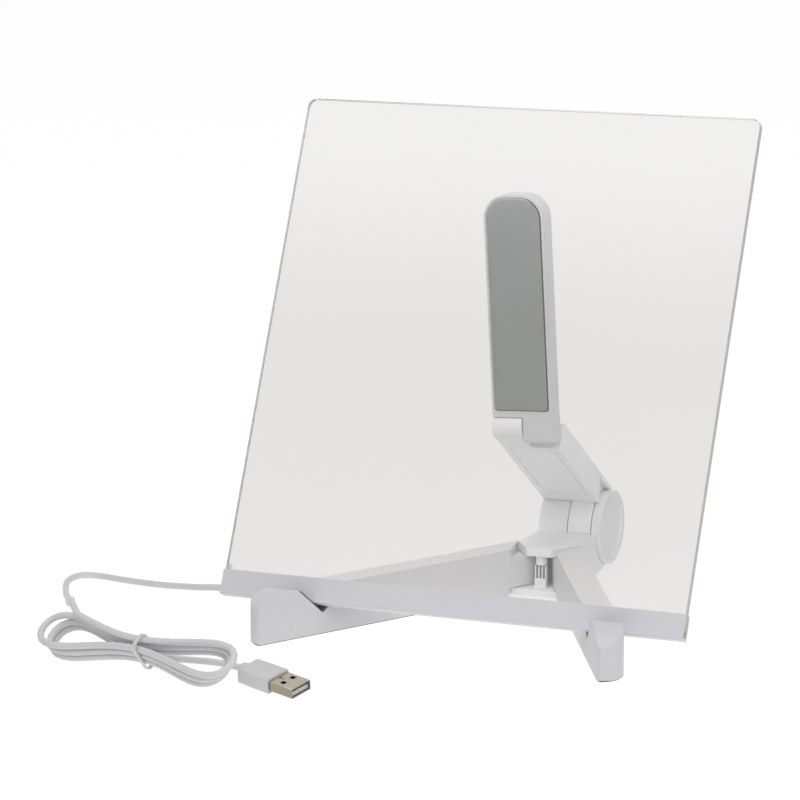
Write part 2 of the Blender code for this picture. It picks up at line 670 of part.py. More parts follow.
def build_hub(stand, looks):
    half = HUB_WIDTH / 2
    plan = filleted([
        (-HUB_NOSE_WIDTH / 2, -HUB_NOSE_REACH, HUB_CORNER_RADIUS),
        (HUB_NOSE_WIDTH / 2, -HUB_NOSE_REACH, HUB_CORNER_RADIUS),
        (half, HUB_SIDE_START, HUB_SIDE_RADIUS),
        (half, KNUCKLE_REACH),
        (-half, KNUCKLE_REACH),
        (-half, HUB_SIDE_START, HUB_SIDE_RADIUS),
    ])
    hub = piece("hub_body", prism("hub_body", plan, "XY", 0, HUB_TOP + OVERRUN), stand,
                looks["grey"])
    slope_top = HUB_BLOCK_LIFT + 2 * HUB_BLOCK_SLOPE
    profile = [
        (-HUB_NOSE_REACH - OVERRUN, HUB_TOP),
        (-HUB_NOSE_REACH - OVERRUN, HUB_UNDERSIDE),
        (HUB_BLOCK_FRONT, HUB_UNDERSIDE),
        (HUB_BLOCK_FRONT, LEG_UNDERSIDE),
        (HUB_BLOCK_REAR, HUB_BLOCK_LIFT),
        (HUB_BLOCK_REAR + HUB_BLOCK_SLOPE, slope_top),
        (KNUCKLE_REACH, slope_top),
        (KNUCKLE_REACH, HUB_TOP),
    ]
    combine(hub, prism("hub_body", profile, "YZ", -HUB_WIDTH, HUB_WIDTH), "INTERSECT")
    knuckle = (0, KNUCKLE_REACH, KNUCKLE_HEIGHT)
    combine(hub, cylinder("hub_body", KNUCKLE_RADIUS + RUN_GAP, -SEAM, half + OVERRUN, "X",
                          knuckle))
    combine(hub, cylinder("hub_body", KNUCKLE_RADIUS, -half, -SEAM, "X", knuckle), "UNION")
    combine(hub, cylinder("hub_body", AXLE_RADIUS + FIT_GAP, -AXLE_LEFT_LENGTH - FIT_GAP,
                          OVERRUN, "X", knuckle, 2 * SMALL_ROUND_STEPS))
    combine(hub, cylinder("hub_body", KNUCKLE_RADIUS - CAP_RIM, -half - OVERRUN,
                          -half + LEFT_DISH, "X", knuckle))
    inner = half - HUB_SKIRT
    combine(hub, box("hub_body", (-inner, inner), (HUB_BLOCK_FRONT - OVERRUN, BASE_REAR),
                     (-OVERRUN, BASE_TOP + FIT_GAP)))
    combine(hub, cylinder("hub_body", BOSS_DIAMETER / 2, BOSS_BOTTOM,
                          HUB_UNDERSIDE + FIT_GAP, "Z", (0, -BOSS_REACH, 0),
                          SMALL_ROUND_STEPS), "UNION")
    for side in (-1, 1):
        combine(hub, cylinder("hub_body", PIN_RADIUS + FIT_GAP, HUB_UNDERSIDE - RUN_GAP,
                              HUB_UNDERSIDE + PIN_SEAT, "Z", (side * PIVOT_X, 0, 0),
                              2 * SMALL_ROUND_STEPS))

    # Base plate: full width under the lugs, narrower inside the block's skirt
    neck = HUB_BLOCK_FRONT - BASE_NECK
    narrow = inner - FIT_GAP
    plan = filleted([
        (-half, -BASE_NOSE_REACH, BASE_CORNER_RADIUS),
        (half, -BASE_NOSE_REACH, BASE_CORNER_RADIUS),
        (half, neck),
        (narrow, neck),
        (narrow, BASE_REAR - FIT_GAP),
        (-narrow, BASE_REAR - FIT_GAP),
        (-narrow, neck),
        (-half, neck),
    ])
    base = piece("hub_base_plate", prism("hub_base_plate", plan, "XY", LEG_UNDERSIDE, BASE_TOP),
                 stand, looks["grey"])
    for side in (-1, 1):
        combine(base, cylinder("hub_base_plate", PIN_RADIUS + FIT_GAP, BASE_TOP - PIN_SEAT,
                               BASE_TOP + OVERRUN, "Z", (side * PIVOT_X, 0, 0),
                               2 * SMALL_ROUND_STEPS))
    sunk = BASE_TOP - FIT_GAP
    sill = SILL_WIDTH / 2
    combine(base, box("hub_base_plate", (-sill, sill),
                      (-SILL_REACH, -SILL_REACH + SILL_THICKNESS), (sunk, SILL_TOP)), "UNION")
    for index in range(RIB_COUNT):
        centre = (index - (RIB_COUNT - 1) / 2) * (SILL_WIDTH - RIB_THICKNESS) / (RIB_COUNT - 1)
        start = -SILL_REACH + SILL_THICKNESS / 2
        combine(base, box("hub_base_plate",
                          (centre - RIB_THICKNESS / 2, centre + RIB_THICKNESS / 2),
                          (start, start + RIB_DEPTH), (sunk, RIB_TOP)), "UNION")

    # Foot pad, let into the base plate
    plans = []
    for grown in (FIT_GAP, 0):
        across = half - FOOT_PAD_INSET + grown
        front = -BASE_NOSE_REACH + FOOT_PAD_INSET - grown
        rear = BASE_REAR - FOOT_PAD_INSET + grown
        radius = BASE_CORNER_RADIUS + grown
        plans.append(filleted([(-across, front, radius), (across, front, radius),
                               (across, rear, radius), (-across, rear, radius)]))
    recess, pad = plans
    combine(base, prism("hub_base_plate", recess, "XY", -OVERRUN, SOLE_THICKNESS + FIT_GAP))
    piece("hub_foot_pad", prism("hub_foot_pad", pad, "XY", 0, SOLE_THICKNESS), stand,
          looks["rubber"])

    for name, side in (("left", -1), ("right", 1)):
        piece(name + "_leg_pin",
              cylinder(name, PIN_RADIUS, BASE_TOP - PIN_SEAT + FIT_GAP,
                       HUB_UNDERSIDE + PIN_SEAT - FIT_GAP, "Z", (side * PIVOT_X, 0, 0),
                       SMALL_ROUND_STEPS), stand, looks["steel"])
    piece("knuckle_axle",
          cylinder("knuckle_axle", AXLE_RADIUS, -AXLE_LEFT_LENGTH, AXLE_RIGHT_LENGTH, "X",
                   knuckle, SMALL_ROUND_STEPS), stand, looks["steel"])


# Arms

def cover_and_cells(shell, name, plane, width, start, length, face, inward, depth, look):
    """A flush cover panel in a rebate, over a row of cells between ribs."""
    half = width / 2 - COVER_MARGIN
    low = -start - length
    high = -start
    floor = face + inward * (COVER_THICKNESS + FIT_GAP)
    rebate = filleted([
        (-half, low, COVER_CORNER_RADIUS), (half, low, COVER_CORNER_RADIUS),
        (half, high, COVER_CORNER_RADIUS), (-half, high, COVER_CORNER_RADIUS),
    ])
    limits = sorted((face - inward * OVERRUN, floor))
    combine(shell, prism(name, rebate, plane, *limits))
    count = math.ceil(length / (width - 2 * COVER_MARGIN))
    room = length - 2 * COVER_LEDGE
    cell = (room - (count - 1) * CELL_RIB) / count
    side = half - COVER_LEDGE
    for index in range(count):
        bottom = low + COVER_LEDGE + index * (cell + CELL_RIB)
        outline = filleted([
            (-side, bottom, CELL_CORNER_RADIUS), (side, bottom, CELL_CORNER_RADIUS),
            (side, bottom + cell, CELL_CORNER_RADIUS),
            (-side, bottom + cell, CELL_CORNER_RADIUS),
        ], steps=2)
        limits = sorted((floor - inward * CELL_RIB, face + inward * (depth - CELL_FLOOR)))
        combine(shell, prism(name, outline, plane, *limits))
    inner = half - FIT_GAP
    radius = COVER_CORNER_RADIUS - FIT_GAP
    panel = filleted([
        (-inner, low + FIT_GAP, radius), (inner, low + FIT_GAP, radius),
        (inner, high - FIT_GAP, radius), (-inner, high - FIT_GAP, radius),
    ])
    limits = sorted((face, face + inward * COVER_THICKNESS))
    piece(name, prism(name, panel, plane, *limits), shell.parent, look)


def build_lower_arm(arm, elbow_seat, looks):
    half = LOWER_ARM_WIDTH / 2
    shell = piece("lower_arm_shell",
                  box("lower_arm_shell", (-half, half), (-LOWER_ARM_LENGTH, 0),
                      (LOWER_ARM_UNDERSIDE, KNUCKLE_RADIUS)), arm, looks["grey"])
    combine(shell, cylinder("lower_arm_shell", KNUCKLE_RADIUS, SEAM, BARREL_RIGHT), "UNION")
    combine(shell, cylinder("lower_arm_shell", KNUCKLE_RADIUS + RUN_GAP, -half - OVERRUN,
                            SEAM))
    # The right wall stops short of the cap on a slanted line, under a skin that runs on
    run = (LOWER_ARM_STEP_BACK - LOWER_ARM_STEP_FRONT) / (KNUCKLE_RADIUS - LOWER_ARM_UNDERSIDE)
    low = LOWER_ARM_UNDERSIDE - OVERRUN
    high = KNUCKLE_RADIUS + OVERRUN
    outline = [
        (-LOWER_ARM_STEP_FRONT + OVERRUN * run, low),
        (2 * KNUCKLE_RADIUS, low),
        (2 * KNUCKLE_RADIUS, high),
        (-LOWER_ARM_SKIN_END, high),
        (-LOWER_ARM_SKIN_END, KNUCKLE_RADIUS - LOWER_ARM_SKIN),
        (-LOWER_ARM_STEP_BACK + LOWER_ARM_SKIN * run, KNUCKLE_RADIUS - LOWER_ARM_SKIN),
    ]
    combine(shell, prism("lower_arm_shell", outline, "YZ", BARREL_RIGHT, half + OVERRUN))
    combine(shell, cylinder("lower_arm_shell", KNUCKLE_RADIUS + FIT_GAP, BARREL_RIGHT,
                            half + OVERRUN))

    # Elbow end: the right half stops square, the left half ends in the barrel
    depth = KNUCKLE_RADIUS - LOWER_ARM_UNDERSIDE
    combine(shell, box("lower_arm_shell", (-SEAM, half + OVERRUN), (-depth, ELBOW_SHOULDER),
                       (-depth, depth)), parent=elbow_seat)
    combine(shell, cylinder("lower_arm_shell", ELBOW_RADIUS, -half, -SEAM,
                            steps=2 * SMALL_ROUND_STEPS), "UNION", elbow_seat)
    combine(shell, cylinder("lower_arm_shell", ELBOW_PIN_RADIUS + FIT_GAP,
                            -ELBOW_PIN_LENGTH / 2 - FIT_GAP, OVERRUN,
                            steps=SMALL_ROUND_STEPS), parent=elbow_seat)
    cover_and_cells(shell, "lower_arm_cover", "XY", LOWER_ARM_WIDTH, LOWER_COVER_START,
                    LOWER_COVER_LENGTH, LOWER_ARM_UNDERSIDE, 1, depth, looks["grey"])

    # Knuckle: axle bore, ring seat and cap seat
    combine(shell, cylinder("lower_arm_shell", AXLE_RADIUS + FIT_GAP, -OVERRUN,
                            AXLE_RIGHT_LENGTH + FIT_GAP, steps=2 * SMALL_ROUND_STEPS))
    ring_left = FIT_GAP - SEAM
    ring_right = ring_left + KNUCKLE_RING_THICKNESS
    combine(shell, cylinder("lower_arm_shell", KNUCKLE_RING_RADIUS + FIT_GAP, -OVERRUN,
                            ring_right + FIT_GAP, steps=2 * SMALL_ROUND_STEPS))
    combine(shell, cylinder("lower_arm_shell", CAP_SPIGOT_RADIUS + FIT_GAP,
                            BARREL_RIGHT - CAP_SPIGOT_LENGTH, BARREL_RIGHT + OVERRUN,
                            steps=2 * SMALL_ROUND_STEPS))
    piece("knuckle_friction_ring",
          turned("knuckle_friction_ring", [
              (AXLE_RADIUS + FIT_GAP, ring_right), (KNUCKLE_RING_RADIUS, ring_right),
              (KNUCKLE_RING_RADIUS, ring_left), (AXLE_RADIUS + FIT_GAP, ring_left),
          ], 2 * SMALL_ROUND_STEPS), arm, looks["steel"])

    # Cap: a dished disc with a spigot
    inner = BARREL_RIGHT + FIT_GAP
    outer = inner + CAP_THICKNESS
    dish = KNUCKLE_RADIUS - CAP_RIM
    piece("knuckle_cap", turned("knuckle_cap", [
        (0, outer - CAP_DISH),
        (dish - CAP_DISH_RADIUS, outer - CAP_DISH),
        (dish, outer - CAP_DISH + CAP_DISH_RADIUS),
        (dish, outer),
        (KNUCKLE_RADIUS, outer),
        (KNUCKLE_RADIUS, inner),
        (CAP_SPIGOT_RADIUS, inner),
        (CAP_SPIGOT_RADIUS, inner - CAP_SPIGOT_LENGTH),
        (0, inner - CAP_SPIGOT_LENGTH),
    ]), arm, looks["grey"])
    piece("elbow_pin", cylinder("elbow_pin", ELBOW_PIN_RADIUS, -ELBOW_PIN_LENGTH / 2,
                                ELBOW_PIN_LENGTH / 2, steps=SMALL_ROUND_STEPS), elbow_seat,
          looks["steel"])


def build_upper_arm(arm, lower_arm, looks):
    half = UPPER_ARM_WIDTH / 2
    deep = UPPER_ARM_THICKNESS / 2
    plan = filleted([
        (-half, UPPER_ARM_HEEL + OVERRUN), (half, UPPER_ARM_HEEL + OVERRUN),
        (half, -UPPER_ARM_LENGTH, UPPER_ARM_CORNER_RADIUS),
        (-half, -UPPER_ARM_LENGTH, UPPER_ARM_CORNER_RADIUS),
    ], steps=2 * FILLET_STEPS)
    shell = piece("upper_arm_shell", prism("upper_arm_shell", plan, "XY", -2 * deep, 2 * deep),
                  arm, looks["grey"])
    side = filleted([
        (UPPER_ARM_HEEL, -deep, UPPER_ARM_HEEL_FRONT_RADIUS),
        (UPPER_ARM_HEEL, deep, UPPER_ARM_HEEL_BACK_RADIUS),
        (-UPPER_ARM_LENGTH - OVERRUN, deep),
        (-UPPER_ARM_LENGTH - OVERRUN, -deep),
    ])
    combine(shell, prism("upper_arm_shell", side, "YZ", -UPPER_ARM_WIDTH, UPPER_ARM_WIDTH),
            "INTERSECT")

    # The left half stops above the lower arm's barrel and its back face
    combine(shell, cylinder("upper_arm_shell", ELBOW_RADIUS + ELBOW_RUN_GAP, -half - OVERRUN,
                            SEAM, steps=2 * SMALL_ROUND_STEPS))
    tilt = half * math.sin(ELBOW_ROLL)
    combine(shell, box("upper_arm_shell", (-half - OVERRUN, SEAM),
                       (-LOWER_ARM_LENGTH, -LOWER_ARM_LENGTH + UPPER_ARM_THICKNESS),
                       (LOWER_ARM_UNDERSIDE, KNUCKLE_RADIUS + tilt + RUN_GAP)),
            parent=lower_arm)
    combine(shell, box("upper_arm_shell", (-half - OVERRUN, SEAM),
                       (0, UPPER_ARM_HEEL + OVERRUN), (-2 * deep, 2 * deep)))
    combine(shell, cylinder("upper_arm_shell", ELBOW_PIN_RADIUS + RUN_GAP, -OVERRUN,
                            ELBOW_PIN_LENGTH / 2 + FIT_GAP, steps=SMALL_ROUND_STEPS))
    ring_left = FIT_GAP - SEAM
    ring_right = ring_left + ELBOW_RING_THICKNESS
    combine(shell, cylinder("upper_arm_shell", ELBOW_RING_RADIUS + FIT_GAP, -OVERRUN,
                            ring_right + FIT_GAP, steps=2 * SMALL_ROUND_STEPS))
    piece("elbow_friction_ring",
          turned("elbow_friction_ring", [
              (ELBOW_PIN_RADIUS + FIT_GAP, ring_right), (ELBOW_RING_RADIUS, ring_right),
              (ELBOW_RING_RADIUS, ring_left), (ELBOW_PIN_RADIUS + FIT_GAP, ring_left),
          ], 2 * SMALL_ROUND_STEPS), arm, looks["steel"])

    # Pad in its shallow recess on the front
    recess = PAD_THICKNESS - PAD_PROUD + FIT_GAP
    pad_half = half - PAD_RIM
    for gap, name in ((0, "recess"), (FIT_GAP, "arm_pad")):
        top_radius = UPPER_ARM_CORNER_RADIUS - PAD_RIM - gap
        bottom_radius = PAD_BOTTOM_RADIUS - gap
        edge = pad_half - gap
        low = -PAD_START - gap
        high = -PAD_END - FIT_GAP + gap
        outline = filleted([
            (-edge, high, top_radius), (edge, high, top_radius),
            (edge, low, bottom_radius), (-edge, low, bottom_radius),
        ], steps=2 * FILLET_STEPS)
        if name == "recess":
            combine(shell, prism(name, outline, "XY", -deep - OVERRUN, -deep + recess))
        else:
            piece(name, prism(name, outline, "XY", -deep - PAD_PROUD,
                              -deep - PAD_PROUD + PAD_THICKNESS), arm, looks["pad"])
    cover_and_cells(shell, "upper_arm_cover", "XY", UPPER_ARM_WIDTH, UPPER_COVER_START,
                    UPPER_COVER_LENGTH, deep, -1, UPPER_ARM_THICKNESS - recess,
                    looks["grey"])


# Plug

def build_plug(plug, looks):
    width = SHELL_WIDTH
    height = SHELL_HEIGHT
    outer = filleted([(0, 0, SHELL_CORNER_RADIUS), (width, 0, SHELL_CORNER_RADIUS),
                      (width, height, SHELL_CORNER_RADIUS), (0, height, SHELL_CORNER_RADIUS)],
                     steps=2)
    back = -SHELL_LENGTH - SHELL_HIDDEN
    shell = piece("plug_shell", prism("plug_shell", outer, "YZ", back, 0), plug,
                  looks["plated"])
    wall = SHELL_WALL
    combine(shell, box("plug_shell", (back - OVERRUN, OVERRUN), (wall, width - wall),
                       (wall, height - wall)))
    for side in (-1, 1):
        centre = width / 2 + side * WINDOW_SPACING / 2
        combine(shell, box("plug_shell",
                           (-WINDOW_SETBACK - WINDOW_LENGTH / 2,
                            -WINDOW_SETBACK + WINDOW_LENGTH / 2),
                           (centre - WINDOW_WIDTH / 2, centre + WINDOW_WIDTH / 2),
                           (height - 2 * wall, height + OVERRUN)))
    combine(shell, box("plug_shell",
                       (-LATCH_SETBACK - LATCH_SIZE / 2, -LATCH_SETBACK + LATCH_SIZE / 2),
                       (width / 2 - LATCH_SIZE, width / 2 + LATCH_SIZE),
                       (height - wall / 2, height + OVERRUN)))

    # Tongue with its raised contacts, seen from the nose
    left = wall + FIT_GAP
    right = width - wall - FIT_GAP
    low = wall + FIT_GAP
    high = low + TONGUE_THICKNESS
    tongue = piece("plug_tongue", box("plug_tongue", (back + OVERRUN, -TONGUE_SETBACK),
                                      (left, right), (low, high)), plug, looks["dark"])
    pitch = (right - left) / CONTACT_COUNT
    for index in range(CONTACT_COUNT):
        centre = left + pitch * (index + 0.5)
        combine(tongue, box("plug_tongue",
                            (-SHELL_LENGTH, -TONGUE_SETBACK - CONTACT_SETBACK),
                            (centre - CONTACT_WIDTH / 2, centre + CONTACT_WIDTH / 2),
                            (high - CONTACT_RISE, high + CONTACT_RISE)), "UNION")

    # Overmould, with a socket for the shell and a neck for the cord
    middle = width / 2
    level = height / 2 - OVERMOULD_DEPTH / 2
    half = OVERMOULD_WIDTH / 2
    tall = OVERMOULD_HEIGHT / 2
    outline = filleted([
        (middle - half, level - tall, OVERMOULD_RADIUS),
        (middle + half, level - tall, OVERMOULD_RADIUS),
        (middle + half, level + tall, OVERMOULD_RADIUS),
        (middle - half, level + tall, OVERMOULD_RADIUS),
    ], steps=3)
    rear = -SHELL_LENGTH - OVERMOULD_LENGTH
    body = piece("plug_overmould", prism("plug_overmould", outline, "YZ", rear, -SHELL_LENGTH),
                 plug, looks["cord"])
    bevel = body.modifiers.new("Bevel", "BEVEL")
    bevel.width = LEG_EDGE_RADIUS
    bevel.segments = 2
    bevel.limit_method = "ANGLE"
    bevel.angle_limit = math.radians(60)
    combine(body, cylinder("plug_overmould", PLUG_NECK_DIAMETER / 2, rear - PLUG_NECK_LENGTH,
                           rear + OVERRUN, "X", (0, middle, level), SMALL_ROUND_STEPS),
            "UNION")
    combine(body, box("plug_overmould", (back - FIT_GAP, OVERRUN),
                      (-FIT_GAP, width + FIT_GAP), (-FIT_GAP, height + FIT_GAP)))
    return Vector((rear - PLUG_NECK_LENGTH - FIT_GAP, middle, level))


# Cord

def eased(value):
    value = min(max(value, 0.0), 1.0)
    return value * value * (3 - 2 * value)


def hank_axes():
    along = Vector((math.cos(HANK_YAW), math.sin(HANK_YAW), 0))
    behind = Vector((-math.sin(HANK_YAW), math.cos(HANK_YAW), 0))
    rise = behind * math.cos(HANK_TILT) + Vector((0, 0, math.sin(HANK_TILT)))
    stack = -behind * math.sin(HANK_TILT) + Vector((0, 0, math.cos(HANK_TILT)))
    lowest = (HANK_END_HALF_HEIGHT * math.sin(HANK_TILT)
              + TURN_COUNT / 2 * HANK_STEP * math.cos(HANK_TILT))
    centre = Vector((HANK_X, HANK_Y, lowest + CORD_RADIUS + TABLE_GAP))
    return centre, along, rise, stack


def hank_point(turns):
    """A point of the hank, a number of turns after the top of its waist."""
    centre, along, rise, stack = hank_axes()
    whole = math.floor(turns)
    climb = eased((turns - whole - 0.5) / HANK_CLIMB_SHARE + 0.5)
    last = TURN_COUNT - 1
    here = HANK_LENGTH_SHARES[min(max(whole, 0), last)]
    ahead = HANK_LENGTH_SHARES[min(max(whole + 1, 0), last)]
    reach = HANK_HALF_LENGTH * (here + (ahead - here) * climb)
    level = HANK_STEP * (TURN_COUNT / 2 - whole - climb)
    angle = math.pi / 2 - 2 * math.pi * turns
    # sin * cos^2 peaks at 2 / (3 * sqrt(3)), where sin is 1 / sqrt(3)
    peak = 2 / (3 * math.sqrt(3))
    belly = (HANK_END_HALF_HEIGHT - HANK_WAIST_HALF_HEIGHT / math.sqrt(3)) / peak
    height = math.sin(angle) * (HANK_WAIST_HALF_HEIGHT + belly * math.cos(angle) ** 2)
    return centre + along * reach * math.cos(angle) + rise * height + stack * level


def least_gap(points):
    """Least gap of the tube to itself, away from neighbouring points."""
    dense = smooth_path(points, 4)
    away = 2 * TURN_POINTS
    least = min((dense[i] - dense[j]).length
                for i in range(len(dense)) for j in range(i + away, len(dense)))
    return least - CORD_DIAMETER


def build_cord(stand, board, plug, neck, looks):
    into_stand = stand.matrix_world.inverted()
    count = round((TURN_COUNT - HANK_START_SHARE) * TURN_POINTS)
    points = [hank_point(HANK_START_SHARE + (TURN_COUNT - HANK_START_SHARE) * index / count)
              for index in range(count + 1)]
    # Tail: one smooth bend from the last run to the plug's neck
    socket = into_stand @ plug.matrix_world @ neck
    inward = (into_stand @ plug.matrix_world).to_3x3() @ Vector((1, 0, 0))
    leave = (points[-1] - points[-2]).normalized()
    start = points[-1]
    reach = (socket - start).length
    for index in range(1, TAIL_POINTS + 1):
        t = index / TAIL_POINTS
        points.append((2 * t ** 3 - 3 * t ** 2 + 1) * start
                      + (t ** 3 - 2 * t ** 2 + t) * reach * leave
                      + (3 * t ** 2 - 2 * t ** 3) * socket
                      + (t ** 3 - t ** 2) * reach * inward)
    print("least gap of the hank to itself, mm:", round(least_gap(points) / MM, 3))
    piece("cord_hank", tube("cord_hank", points, CORD_RADIUS, 1), stand, looks["cord"])

    # Lead: out of the channel, down to the table, round and up to the hank
    into_board = into_stand @ board.matrix_world
    half = CHANNEL_LENGTH / 2
    middle = CHANNEL_DEPTH / 2
    inner = into_board @ Vector((-half + CORD_ENTRY, middle, CORD_HEIGHT))
    mouth = into_board @ Vector((-half - LEAD_STRAIGHT, middle, CORD_HEIGHT))
    join = (points[1] - points[0]).normalized()
    end = points[0] - join * FIT_GAP
    route = [inner, mouth] + [Vector(point) for point in LEAD_POINTS]
    route += [end - join * CORD_DIAMETER, end]
    lead = smooth_path(route, LEAD_STEPS)
    length = sum((b - a).length for a, b in zip(lead, lead[1:]))
    length += sum((b - a).length for a, b in zip(points, points[1:]))
    print("cord length, mm:", round(length / MM, 1))
    piece("cord_lead", tube("cord_lead", lead, CORD_RADIUS, 2), stand, looks["cord"])

    # Tie: an oval band round the waist, square to the hank
    centre, along, rise, stack = hank_axes()
    clear = CORD_RADIUS + TIE_SLACK
    wide = HANK_WAIST_HALF_HEIGHT + clear
    tall = TURN_COUNT / 2 * HANK_STEP + clear
    ovals = []
    for grown in (TIE_THICKNESS, 0):
        u, v, radius = wide + grown, tall + grown, clear + grown
        ovals.append(filleted([(-u, -v, radius), (u, -v, radius), (u, v, radius),
                               (-u, v, radius)], steps=4))
    outer, inner = ovals
    frame = Matrix((along, rise, stack)).transposed().to_4x4()
    tie_frame = empty("tie_frame", stand, centre + along * TIE_SHIFT, frame)
    band = piece("cord_tie", prism("cord_tie", outer, "YZ", -TIE_WIDTH / 2, TIE_WIDTH / 2),
                 tie_frame, looks["tie"])
    combine(band, prism("cord_tie", inner, "YZ", -TIE_WIDTH, TIE_WIDTH))


def main():
    looks = {
        "acrylic": material("clear_acrylic", (0.90, 0.92, 0.91), 0.05, alpha=0.3),
        "white": material("white_channel", (0.66, 0.65, 0.70), 0.4),
        "strip": material("light_strip", (0.85, 0.84, 0.75), 0.5),
        "grey": material("grey_plastic", (0.62, 0.63, 0.64), 0.5),
        "pad": material("arm_pad", (0.30, 0.31, 0.30), 0.8),
        "rubber": material("dark_rubber", (0.08, 0.08, 0.08), 0.8),
        "steel": material("steel", (0.60, 0.60, 0.60), 0.3, 1.0),
        "cord": material("grey_cord", (0.52, 0.52, 0.53), 0.5),
        "tie": material("tie", (0.50, 0.50, 0.48), 0.5),
        "plated": material("plated_shell", (0.55, 0.50, 0.43), 0.25, 1.0),
        "dark": material("dark_tongue", (0.05, 0.05, 0.05), 0.5),
    }
    stand = empty("stand_frame", None, (BOARD_SIDE_SHIFT, STAND_SHIFT, 0))
    board = empty("board_frame", stand, (-BOARD_SIDE_SHIFT, BOARD_Y, BOARD_Z),
                  turn(-BOARD_LEAN, "X"))
    left = empty("left_leg_axis", stand, (-PIVOT_X, 0, 0), turn(-LEG_SWING, "Z"))
    right = empty("right_leg_axis", stand, (PIVOT_X, 0, 0), turn(LEG_SWING, "Z"))
    pitch = turn(-LOWER_ARM_PITCH, "X")
    lower = empty("knuckle_axis", stand, (0, KNUCKLE_REACH, KNUCKLE_HEIGHT), pitch)
    seat = empty("elbow_seat", lower, (0, -LOWER_ARM_LENGTH, ELBOW_AXIS_OUT),
                 pitch.inverted() @ turn(-ELBOW_ROLL, "Y") @ pitch)
    upper = empty("elbow_axis", seat, (0, 0, 0), turn(-ELBOW_FOLD, "X"))
    plug = empty("plug_frame", stand, PLUG_NOSE,
                 turn(PLUG_YAW, "Z") @ turn(PLUG_PITCH, "Y") @ turn(PLUG_ROLL, "X"))
    bpy.context.view_layer.update()

    build_board(board, looks)
    build_hub(stand, looks)
    build_leg("left", -1, left, stand, looks)
    build_leg("right", 1, right, stand, looks)
    build_lower_arm(lower, seat, looks)
    build_upper_arm(upper, lower, looks)
    neck = build_plug(plug, looks)
    build_cord(stand, board, plug, neck, looks)


clear_scene()
PARTS = collection("led_writing_board")
CUTTERS = collection("cutters")
main()
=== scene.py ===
"""LED writing board on its folding stand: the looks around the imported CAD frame."""
import math

import bmesh
import bpy
from mathutils import Matrix, Vector


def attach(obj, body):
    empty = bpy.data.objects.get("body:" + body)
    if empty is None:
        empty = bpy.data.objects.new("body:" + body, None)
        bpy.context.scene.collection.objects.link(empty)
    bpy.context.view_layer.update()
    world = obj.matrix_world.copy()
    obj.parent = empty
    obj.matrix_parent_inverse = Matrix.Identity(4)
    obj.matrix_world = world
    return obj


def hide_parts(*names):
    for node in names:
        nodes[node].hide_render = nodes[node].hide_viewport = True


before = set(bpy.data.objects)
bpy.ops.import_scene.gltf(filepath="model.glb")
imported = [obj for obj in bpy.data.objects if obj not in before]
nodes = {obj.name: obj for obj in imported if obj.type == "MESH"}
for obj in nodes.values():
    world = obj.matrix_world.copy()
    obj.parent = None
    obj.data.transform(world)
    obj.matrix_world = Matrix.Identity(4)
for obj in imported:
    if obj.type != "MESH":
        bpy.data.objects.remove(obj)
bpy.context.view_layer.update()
MM = 0.001


# ---- Camera -----------------------------------------------------------------------------
# A long lens a little above the table, to the right of the board's middle, so that the
# stand shows through the clear sheet and the board's right edge is seen.

LENS = 172.9
CAMERA_PLACE = (0.62934, -1.6109, 0.42183)
CAMERA_TURN = (math.radians(79.421), 0, math.radians(23.014))

bpy.ops.object.camera_add(location=CAMERA_PLACE, rotation=CAMERA_TURN)
camera = bpy.context.object
camera.name = "photo_camera"
camera.data.lens = LENS
camera.data.sensor_width = 36
camera.data.clip_end = 20
bpy.context.scene.camera = camera


# ---- Cord -------------------------------------------------------------------------------
# A thin round lead of soft grey plastic over two stranded wires. It leaves the channel's
# left end, drops to the table, and is put away in a tied hank of three flat turns.

CORD_RADIUS = 1.5 * MM
STAND_SIDE = 2.3 * MM
STAND_SHIFT = 43.4083 * MM
TURNS = 3
TURN_POINTS = 48
HANK_MIDDLE = Vector((-108.5 * MM + STAND_SIDE, -214.9 * MM + STAND_SHIFT, 0))
HANK_YAW = math.radians(-18)
HANK_TILT = math.radians(38)
HANK_REACH = 60 * MM
HANK_REACH_SHARES = (1.0, 0.93, 0.87)
HANK_END = 8.5 * MM
HANK_WAIST = 1.95 * MM
HANK_STEP = 3.6 * MM
CLIMB_SHARE = 0.24
START_SHARE = -0.1
TAIL_POINTS = 20
BOARD_LEAN = math.radians(24.74)
BOARD_PLACE = Vector((0, -78.2719 * MM, 15.0358 * MM))
BOARD_TURN = Matrix.Rotation(-BOARD_LEAN, 3, "X")
CHANNEL_HALF = 110.9 * MM
CHANNEL_DEPTH = 6.0 * MM
CORD_LEVEL = 3.0 * MM
LEAD_POINTS = (
    (-125.0, -115.0, 15.2), (-140.2, -103.2, 11.6), (-158.0, -89.2, 7.6), (-175.5, -76.4, 4.4),
    (-192.2, -66.2, 2.2), (-204.8, -61.6, 1.6), (-213.0, -62.6, 1.6), (-215.8, -69.0, 1.6),
    (-213.4, -80.3, 1.6), (-205.2, -96.8, 1.7), (-197.0, -110.2, 2.4), (-187.5, -126.9, 4.6),
    (-178.0, -142.9, 9.0), (-169.0, -158.9, 14.6), (-161.0, -174.9, 19.4),
    (-153.5, -187.9, 21.6))
PLUG_NOSE = Vector((-28.8 * MM + STAND_SIDE, -226.9 * MM + STAND_SHIFT, 0.1 * MM))
PLUG_TURN = (Matrix.Rotation(math.radians(-16.3), 3, "Z")
             @ Matrix.Rotation(math.radians(6.7), 3, "Y")
             @ Matrix.Rotation(math.radians(10.3), 3, "X"))
SHELL_LENGTH = 13.0 * MM
SHELL_WIDTH = 12.0 * MM
SHELL_HEIGHT = 4.5 * MM
OVERMOULD_LENGTH = 17.0 * MM
NECK_LENGTH = 3.5 * MM
FIT_GAP = 0.3 * MM

